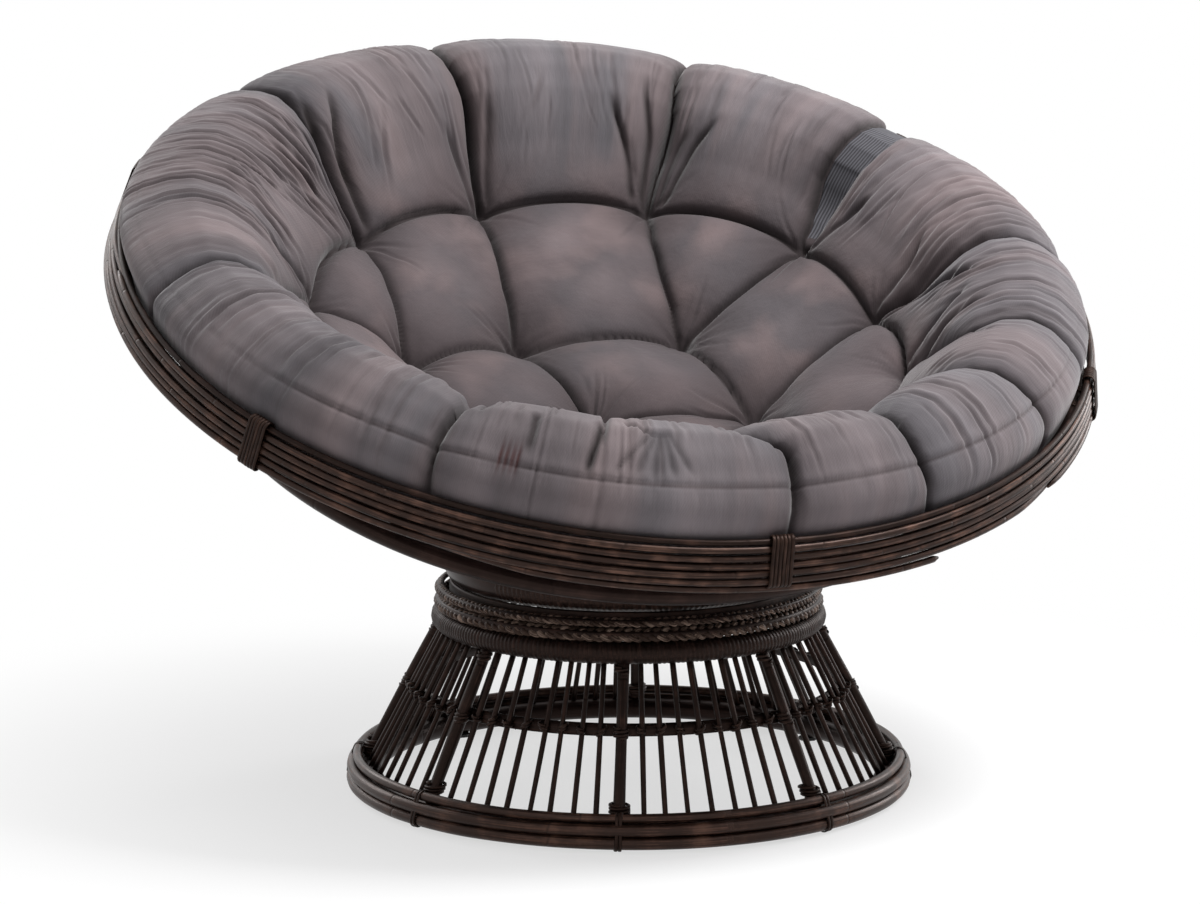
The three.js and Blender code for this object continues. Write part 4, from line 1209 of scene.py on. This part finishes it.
def fold(angle_at, first_row, last_row, width, depth, ends=0.3):
    """A fold from one row to another, at the angle that angle_at gives for each row."""
    rows = np.arange(max(first_row, 0), min(last_row, len(arc) - 6))
    if len(rows) < 4:
        return
    share = (rows - rows[0]) / (len(rows) - 1)
    taper = np.clip(np.minimum(share, 1 - share) / ends, 0, 1)[:, None] ** 1.3
    centre = angle_at(rows)
    reach = 5 * width / crown_radius[rows].min()
    first = int(math.floor((centre.min() - reach) / (2 * math.pi) * columns))
    last = int(math.ceil((centre.max() + reach) / (2 * math.pi) * columns))
    picked = np.arange(first, last)
    side = (picked[None] * 2 * math.pi / columns - centre[:, None]) * crown_radius[rows][:, None]
    window = np.ix_(rows, picked % columns)
    lowered[window] += depth * taper * groove(side, width)
    # Painted shade along the fold's groove.
    shade = min(1.0, depth / 0.0026) * taper * bell(side, 0.8 * width)
    crease_shade[window] = np.maximum(crease_shade[window], 0.72 * shade)


def draw_fold(low, high, widths, depths, starts, lengths):
    heading = deg(fold_draws.uniform(low, high))
    off_creases = np.abs(around(rim_angles - heading))
    nearest = int(np.argmin(off_creases + fold_draws.uniform(0, 0.12, len(rim_angles))))
    pull = fold_draws.uniform(0.25, 0.85)
    drift = fold_draws.normal(0, 0.03)
    start = ring_row + int(roll_rows * fold_draws.uniform(*starts))
    stop = start + int(roll_rows * fold_draws.uniform(*lengths))

    def angle_at(rows):
        progress = np.clip((arc[rows] - arc[ring_row]) / 0.16, 0, 1)
        towards = around(crease_angles[nearest] - heading) * pull * (1 - progress) ** 2
        return heading + towards + drift * progress

    fold(angle_at, start, stop, fold_draws.uniform(*widths) / 1000, fold_draws.uniform(*depths) / 1000)


for low, high, count, *ranges in fold_zones:
    for _ in range(count):
        draw_fold(low, high, *ranges)
print("folds", sum(zone[2] for zone in fold_zones))

# %% [markdown]
# A thin seam joins the top to the side band a little below the crest. The cloth is gathered
# into it, so the seam is a narrow groove with short upright puckers above and below. A few
# loose threads cross it at the front, and the filling swells the cloth a little unevenly.

# %% Seam, threads and unevenness
on_wall = arc > arc[ring_row] + 0.15
seam_row = int(np.argmin(np.abs(crown_height - 0.075) + 10 * ~on_wall))
from_seam = S - arc[seam_row]
signed = around(theta)
seam_clear = 0.25 + 0.75 * ease(signed, deg(-72), deg(-50)) * ease(-signed, deg(-60), deg(-40))
lowered += seam_clear * 0.0018 * bell(from_seam, 0.0018)
lowered -= seam_clear * 0.0009 * bell(from_seam + 0.006, 0.004)
# Painted shade along the seam's groove.
crease_shade = np.maximum(crease_shade, 0.8 * seam_clear * bell(from_seam, 0.0016))

pucker_draws = np.random.default_rng(29)
pucker_count = 170
puckers = np.zeros((1, columns))
for _ in range(pucker_count):
    at = pucker_draws.uniform(0, 2 * math.pi)
    width = pucker_draws.uniform(0.002, 0.006)
    puckers += pucker_draws.uniform(0.3, 1) * bell(around(theta - at) * 0.48, width)
lowered += 0.0013 * np.minimum(puckers, 1.4) * (bell(from_seam, 0.018) * (1 - bell(from_seam, 0.003)))

swell = np.zeros_like(lowered)
swell_draws = np.random.default_rng(31)
swell_count = 30
for _ in range(swell_count):
    a, b = swell_draws.uniform(-0.55, 0.55, 2)
    size = swell_draws.uniform(0.03, 0.08)
    swell += swell_draws.normal(0, 0.0026) * np.exp(-((flat_a - a) ** 2 + (flat_b - b) ** 2) / size ** 2)

stitches = np.zeros_like(lowered)
by_thread = bell(from_seam + 0.006, 0.012)
for angle in (-31.9, -31.2, -30.5, -29.9):
    side = around(theta - deg(angle)) * R
    lowered += 0.0024 * by_thread * bell(side, 0.0013)
    stitches = np.maximum(stitches, by_thread * bell(side, 0.0016))
    # Painted shade in the groove under each thread; the red is the thread's own colour.
    crease_shade = np.maximum(crease_shade, 0.9 * by_thread * bell(side, 0.0014))
above_foot = ease(-S, -arc[-1] + 0.03, -arc[-1] + 0.06)
lowered += np.clip(swell, -0.0035, 0.0035) * np.clip(fullness * 2 - 0.6, 0, 1) * above_foot
print("seam at row", seam_row, "height over the rim's plane", round(float(crown_height[seam_row]), 4))

# %% [markdown]
# The strap's bed stays smooth, so no fold crosses it. Then the rows become points. Heights above
# the tufts grow and shrink with the crest, which stands higher in front than at the back. Some
# tufts at the back are drawn in and down. The foot of the cushion rests on the rim hoop.

# %% The cushion's top
crest_middle, crest_slump, tuft_level = 0.094, 0.018, -0.03
off_strap = np.abs(around(theta - crease_line(strap_crease))) * R - strap_half(beyond)
in_bed = ease(-off_strap, -0.0015, 0.001) * ease(beyond, 0.005, 0.02)
lowered = lowered + in_bed * (creases_only - lowered)

scale_at_crest = (crest_middle + crest_slump * np.cos(theta) - tuft_level) / (crest_middle - tuft_level)
plan_radius = np.hypot(plan_a, plan_b)
seat_height = np.interp(plan_radius, crown_radius[:ring_row + 2], crown_height[:ring_row + 2])
raw_height = np.where(S <= arc[ring_row], seat_height, H)
outside = S > arc[int(np.argmax(crown_height))]
scale = 1 + (scale_at_crest - 1) * np.where(outside, ease(raw_height, 0.02, 0.07), 1.0)
height = np.where(raw_height > tuft_level, tuft_level + (raw_height - tuft_level) * scale, raw_height)

slope_r, slope_h = np.gradient(crown_radius, arc), np.gradient(crown_height, arc)
slope_size = np.hypot(slope_r, slope_h)
normal_r, normal_h = (-slope_h / slope_size)[:, None], (slope_r / slope_size)[:, None]
at_back = ease(-np.cos(theta), -0.25, 0.35)
shoulder_radius = 0.486
at_shoulder = bell(R - shoulder_radius, 0.022) * ease(H, 0.035, 0.055) * (S > arc[ring_row])
near_ring = bell(S - arc[ring_row], 0.055)


def drawn_by_tufts(column):
    """How far the ring of tufts is drawn in or down, between the values in a column of the table."""
    values = [crease[column] for crease in roll_creases]
    return np.interp(plan_angle, crease_angles, values, period=2 * math.pi) * near_ring


final_radius = plan_radius - lowered * normal_r + 0.0065 * at_back * at_shoulder - drawn_by_tufts(3)
final_height = height - lowered * normal_h + 0.003 * at_back * at_shoulder - drawn_by_tufts(4)
top_points = bowl_point(plan_angle, final_radius, final_height)
print("highest point of the cushion", round(float(top_points[..., 2].max()), 4))

# %% [markdown]
# The underside is a smooth bag that lies on the ribs. The threads of the tufts come out there
# as well, so it dips at each, and its edge is gathered into the seam in short soft pleats.

# %% The cushion's underside and its faces
under_radius = np.linspace(0.458, 0.012, 48 if fine else 16)
under_sphere = dish_sphere - rib_half - 0.002
under_height = dish_centre - np.sqrt(under_sphere ** 2 - under_radius ** 2)
under_a, under_b = under_radius[:, None] * np.sin(theta), under_radius[:, None] * np.cos(theta)
under_dip = np.zeros_like(under_a)
for point, weight in zip(tuft_points, tuft_weights):
    away = np.hypot(under_a - point[0], under_b - point[1])
    heading = np.arctan2(under_a - point[0], under_b - point[1])
    ruck = 1 + 0.3 * np.sin(7 * heading + 40 * point[0]) * np.clip(1 - away / 0.06, 0, 1)
    under_dip += weight * ruck * (0.010 * bell(away, 0.012) + 0.009 * bell(away, 0.04))
gathered = np.sin(theta * 71 + 9 * np.sin(theta * 5) + 14 * np.sin(theta * 3 + 1))
gathered = gathered * (0.6 + 0.4 * np.sin(theta * 17))
by_edge = np.clip((under_radius[:, None] - 0.36 - 0.03 * np.sin(theta * 29)) / 0.1, 0, 1)
under_dip += 0.0011 * (1 + gathered * by_edge)
under_points = bowl_point(theta, under_radius[:, None], under_height[:, None] + under_dip)

grid = np.concatenate([top_points, under_points])
total = grid.shape[0] * columns
bottom_middle = bowl_point(0.0, 0.0, under_height[-1])[None]
cushion_points = np.concatenate([grid.reshape(-1, 3), bottom_middle, top_points[0].mean(0)[None]])
j = np.arange(columns)
after = (j + 1) % columns
bottom_fan = np.stack([total - columns + j, np.full(columns, total), total - columns + after], -1)
top_fan = np.stack([np.full(columns, total + 1), j, after], -1)
cushion_faces = [*grid_quads(len(grid), columns, flip=True), *bottom_fan, *top_fan]
print("cushion's points", len(cushion_points), "faces", len(cushion_faces))

# %% [markdown]
# The cloth is a soft grey twill. Its colour drifts between warm grey, a faint purple and a
# cooler blue. On the roll the patches are drawn out across it, as the cloth was pulled. Shade is
# painted into the colour: it darkens the creases, tufts, folds and seam, and the side towards -X,
# and painted highlights pale the tops of the domes.

# %% The cloth's colour
def cloth_colour(tree, place, drawn_out, on_roll):
    tones = {"First": (0.124, 0.097, 0.101), "Second": (0.100, 0.089, 0.096), "Third": (0.185, 0.140, 0.141)}
    seat_colour = use(tree, mottle_group, Place=place, Scale=6.5, **tones)[0]
    cooler = {"First": (0.118, 0.097, 0.102), "Second": (0.098, 0.092, 0.101), "Third": (0.160, 0.126, 0.129)}
    roll_colour = use(tree, mottle_group, Place=drawn_out, Scale=8.5, **cooler)[0]
    colour = blend_colours(tree, on_roll, seat_colour, roll_colour)
    tone = remap(tree, streaked(tree, place, drawn_out, on_roll, (46.0, 4.0, 0.62), (18.0, 4.0, 0.6)),
                 0.3, 0.7, 0.85, 1.14)
    # Painted shade: the cloth is darkened towards -X.
    sideways = add(tree, "ShaderNodeSeparateXYZ", i0=place).outputs[0]
    colour = shaded(tree, colour, multiply(tree, tone, remap(tree, sideways, -0.45, 0.3, 0.8, 1.07)))
    # Painted shade: creases, tufts, pleats, folds and the seam are darkened.
    crease_shade_share = multiply(tree, attribute(tree, "crease_shade"), 0.75)
    colour = blend_colours(tree, crease_shade_share, colour, (0.030, 0.022, 0.023))
    sunk = attribute(tree, "sunk")
    full = math_node(tree, "POWER", math_node(tree, "SUBTRACT", 1.0, sunk), 5.0)
    # Painted highlight: the tops of the domes are paled in soft patches, more on the seat than on the roll.
    patches = remap(tree, noise(tree, drawn_out, 11.0, 2.0), 0.36, 0.66)
    seat_patches = remap(tree, noise(tree, place, 8.0, 2.0), 0.40, 0.64)
    dome_highlight = multiply(tree, full, blend_colours(tree, on_roll, seat_patches, patches))
    highlight_strength = remap(tree, on_roll, to_low=0.85, to_high=0.24)
    colour = blend_colours(tree, multiply(tree, dome_highlight, highlight_strength), colour, (0.37, 0.295, 0.30))
    # Painted shade: the more sunken the cloth, the darker.
    shade = multiply(tree, math_node(tree, "POWER", sunk, 1.2), 0.84)
    colour = blend_colours(tree, shade, colour, (0.040, 0.030, 0.032))
    # Painted shade: a dark line along the bottom of each slit.
    slit_shade_share = multiply(tree, attribute(tree, "slit_shade_line"), 0.92)
    colour = blend_colours(tree, slit_shade_share, colour, (0.012, 0.008, 0.008))
    thread_share = multiply(tree, attribute(tree, "stitches"), 0.8)
    return blend_colours(tree, thread_share, colour, (0.055, 0.014, 0.013))


def streaked(tree, place, drawn_out, on_roll, streaks, cloud):
    """Clouds on the seat and streaks on the roll, each with its scale, detail and roughness."""
    streaks, cloud = noise(tree, drawn_out, *streaks), noise(tree, place, *cloud)
    return math_node(tree, "MULTIPLY_ADD", math_node(tree, "SUBTRACT", streaks, cloud), on_roll, cloud)


print("mottle group's users", mottle_group.users)

# %% [markdown]
# Two sets of fine ribs make the weave, one slanting and one straight. They are far too small
# for the mesh, so they only shade the colour a little and raise a fine relief over the rumples.

# %% The cloth
def bands(tree, place, direction, scale, distortion, **inputs):
    settings = {"wave_type": "BANDS", "bands_direction": direction}
    inputs.update(Vector=place, Scale=scale, Distortion=distortion)
    return add(tree, "ShaderNodeTexWave", settings, **inputs).outputs[1]


def cloth_finish():
    material, tree, shader = new_material("grey twill")
    place = attribute(tree, "cloth", "Vector")
    on_roll = attribute(tree, "on_roll")
    draped = attribute(tree, "draped", "Vector")
    drawn_out = add(tree, "ShaderNodeMapping", i0=draped, i3=(1, 1, 0.22)).outputs[0]
    ribs = bands(tree, place, "DIAGONAL", 190.0, 0.6, Detail=1.0)
    turned = add(tree, "ShaderNodeMapping", i0=place, i2=(0, 0, 1.9)).outputs[0]
    straight = multiply(tree, bands(tree, turned, "X", 330.0, 0.4), 0.4)
    weave = math_node(tree, "MULTIPLY_ADD", ribs, 0.6, straight)
    rumple = streaked(tree, place, drawn_out, on_roll, (150.0, 3.0, 0.6), (85.0, 4.0, 0.6))
    colour = shaded(tree, cloth_colour(tree, place, drawn_out, on_roll),
                    remap(tree, weave, to_low=0.93, to_high=1.05))
    fill_inputs(tree, shader, Base_Color=colour, Roughness=0.86, Sheen_Weight=0.22, Sheen_Roughness=0.4,
                Specular_IOR_Level=0.25,
                Normal=relief(tree, weave, 0.22, 0.0006, Normal=relief(tree, rumple, 0.35, 0.003)))
    return material


def keep_values(mesh, name, top_values, under_values=0.0):
    """A number at each point of the cushion, for its material."""
    top = np.broadcast_to(top_values, lowered.shape)
    under = np.broadcast_to(under_values, under_dip.shape)
    add_attribute(mesh, name, np.concatenate([top.ravel(), under.ravel(), [0.0, top[0].mean()]]))


def keep_places(mesh, name, top_places, under_level):
    """A place at each point of the cushion, for its material."""
    top = np.stack(np.broadcast_arrays(*top_places), -1)
    under = np.stack(np.broadcast_arrays(under_a, under_b, under_level), -1)
    middles = [[0, 0, under_level], top[0].mean(0)]
    add_attribute(mesh, name, np.concatenate([top.reshape(-1, 3), under.reshape(-1, 3), middles]))


def build_cushion(around_roll=0.45):
    cushion = make_piece("cushion_cloth", cushion_points, cushion_faces, "bowl", cloth_finish())
    mesh = cushion.data
    keep_values(mesh, "crease_shade", crease_shade)
    keep_values(mesh, "sunk", np.clip(1 - fullness, 0, 1), np.clip(under_dip / 0.02, 0, 1))
    keep_values(mesh, "slit_shade_line", slit_shade * (1 - in_bed))
    keep_values(mesh, "stitches", stitches)
    keep_values(mesh, "on_roll", ease(S, arc[ring_row] + 0.01, arc[ring_row] + 0.07))
    keep_places(mesh, "cloth", (flat_a, flat_b, 0.0), 0.3)
    keep_places(mesh, "draped", (around_roll * np.sin(theta), around_roll * np.cos(theta), S), 1.0)
    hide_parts("cushion")
    print("cushion's attributes", [layer.name for layer in mesh.attributes if not layer.name.startswith(".")])


build_cushion()

# %% [markdown]
# One strap of ribbed webbing crosses the roll at the back, on the sitter's left. It lies in
# the flat bed of its own crease and narrows to the tuft, where it is drawn into the cushion.

# %% The strap
def webbing_finish():
    material, tree, shader = new_material("ribbed webbing")
    place = attribute(tree, "along", "Vector")
    ribs = bands(tree, place, "X", 92.0, 0.2)
    picks = noise(tree, place, 420.0, 3.0, 0.6)
    weave = math_node(tree, "MULTIPLY_ADD", ribs, 0.8, multiply(tree, picks, 0.2))
    tone = ramp(tree, weave, [(0.1, (0.018, 0.017, 0.021)), (0.8, (0.082, 0.080, 0.093))])
    fill_inputs(tree, shader, Base_Color=tone, Roughness=0.8, Normal=relief(tree, weave, 0.6, 0.001))
    return material


def bed_of_strap(rows, line):
    """How deep the strap lies at each row: the crease's own depth, smoothed, less a small lift."""
    turns = np.append(theta[0], 2 * math.pi)
    middle = [np.interp(line[row] % (2 * math.pi), turns, np.append(lowered[row], lowered[row, 0]))
              for row in rows]
    kernel = np.hanning(33)
    lift = np.interp(arc[rows] - arc[ring_row], (0, 0.045), (-0.003, 0.0016))
    return np.convolve(np.pad(middle, 16, "edge"), kernel / kernel.sum(), "valid") - lift


def build_strap(across=24, thickness=0.0016):
    line = crease_line(strap_crease)[:, 0]
    rows = np.arange(ring_row + int(0.06 * roll_rows), len(arc) - 14)
    share = np.linspace(-1, 1, across)
    points, along = [], []
    for row, sunk in zip(rows, bed_of_strap(rows, line)):
        half = 0.97 * float(strap_half(arc[row] - arc[ring_row]))
        angles = line[row] + share * half / crown_radius[row]
        free_radius = final_radius[row] + lowered[row] * normal_r[row, 0]
        free_height = final_height[row] + lowered[row] * normal_h[row, 0]
        radius = np.interp(angles, theta[0], free_radius) - sunk * normal_r[row, 0]
        level = np.interp(angles, theta[0], free_height) - sunk * normal_h[row, 0]
        points.append(bowl_point(angles, radius, level))
        along.append(np.stack(np.broadcast_arrays(share * half, 0.0, arc[row]), -1))
    faces = grid_quads(len(rows), across, close_columns=False, flip=True)
    strap = make_piece("strap_webbing", np.concatenate(points), faces, "bowl", webbing_finish(),
                       np.concatenate(along))
    thick = strap.modifiers.new("thickness", "SOLIDIFY")
    thick.thickness = thickness
    thick.offset = 0
    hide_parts("strap")
    print("strap's length", round(len(rows) * row_spacing, 3))


build_strap()

# %% [markdown]
# The studio: a plain pale floor that fades to white away from the chair, and an even pale sky.
# What only the camera sees, straight or in a reflection, is pure white, so the background stays
# white while the light on the chair stays soft.

# %% Floor and sky
def background_rays(tree):
    """One for rays that look at the background, straight or through gloss or glass."""
    rays = add(tree, "ShaderNodeLightPath").outputs
    seen = math_node(tree, "MAXIMUM", rays["Is Camera Ray"], rays["Is Glossy Ray"])
    return math_node(tree, "MAXIMUM", seen, rays["Is Transmission Ray"])


def link_new(name, data):
    holder = bpy.data.objects.new(name, data)
    bpy.context.scene.collection.objects.link(holder)
    return holder


def build_floor(size=30, fade_start=0.25, fade_end=0.95, least_glow=0.62):
    mesh = bpy.data.meshes.new("studio_floor")
    corners = [(-size, -size, 0), (size, -size, 0), (size, size, 0), (-size, size, 0)]
    mesh.from_pydata(corners, [], [(0, 1, 2, 3)])
    floor = link_new("studio_floor", mesh)
    material, tree, shader = new_material("studio floor")
    fill_inputs(tree, shader, Base_Color=(0.82, 0.82, 0.825), Roughness=0.9, Specular_IOR_Level=0.1)
    glow = add(tree, "ShaderNodeEmission", Strength=1.0, Color=(1, 1, 1))
    place = add(tree, "ShaderNodeTexCoord").outputs["Object"]
    away = add(tree, "ShaderNodeVectorMath", {"operation": "LENGTH"}, i0=place).outputs[1]
    far = add(tree, "ShaderNodeMapRange", {"interpolation_type": "SMOOTHSTEP"},
              i0=away, i1=fade_start, i2=fade_end, i3=least_glow, i4=1.0).outputs[0]
    fade = multiply(tree, far, background_rays(tree))
    mix = add(tree, "ShaderNodeMixShader", i0=fade, i1=shader.outputs[0], i2=glow.outputs[0])
    tree.links.new(mix.outputs[0], tree.nodes["Material Output"].inputs[0])
    mesh.materials.append(material)


def build_world(strength=0.33):
    world = bpy.data.worlds.new("studio")
    bpy.context.scene.world = world
    world.use_nodes = True
    tree = world.node_tree
    sky = remap(tree, background_rays(tree), to_low=strength, to_high=1.0)
    fill_inputs(tree, tree.nodes["Background"], i0=(1, 1, 1), i1=sky)


build_floor()
build_world()
print("world", bpy.context.scene.world.name)

# %% [markdown]
# One large soft light stands above and to the right. Three weaker ones draw the right edge, lift
# the back and open the shadows. The camera stands where the photographer stood, with a long lens.

# %% Lights and camera
middle_of_chair = (0, 0, 0.35)
camera_place = (-1.390, swivel_y - 3.692, 1.003)
camera_aim = (-0.0273, swivel_y + 0.010, 0.3413)
lights = [
    # name, place, aimed at, size, power
    ("key", (1.1, -1.0, 3.5), middle_of_chair, 1.3, 168),
    ("edge", (2.7, 0.5, 1.2), (0.1, 0, 0.35), 1.0, 32),
    ("back", (-1.4, 3.2, 2.2), middle_of_chair, 1.8, 40),
    ("fill", (-2.6, -2.4, 1.6), middle_of_chair, 2.4, 7),
]


def aim_at(holder, place, aim):
    holder.location = place
    holder.rotation_euler = (Vector(aim) - Vector(place)).to_track_quat("-Z", "Y").to_euler()


def add_area_light(name, place, aim, size, power):
    light = bpy.data.lights.new(name, "AREA")
    light.size = size
    light.energy = power
    aim_at(link_new(name, light), place, aim)


def build_camera(place, aim, lens):
    camera = bpy.data.cameras.new("camera")
    camera.lens = lens
    camera.sensor_width = 36
    camera.sensor_fit = "HORIZONTAL"
    holder = link_new("camera", camera)
    aim_at(holder, place, aim)
    bpy.context.scene.camera = holder


for light in lights:
    add_area_light(*light)
build_camera(camera_place, camera_aim, lens=118.7)
bpy.context.scene.view_settings.view_transform = "Standard"
print("lights", len(lights))
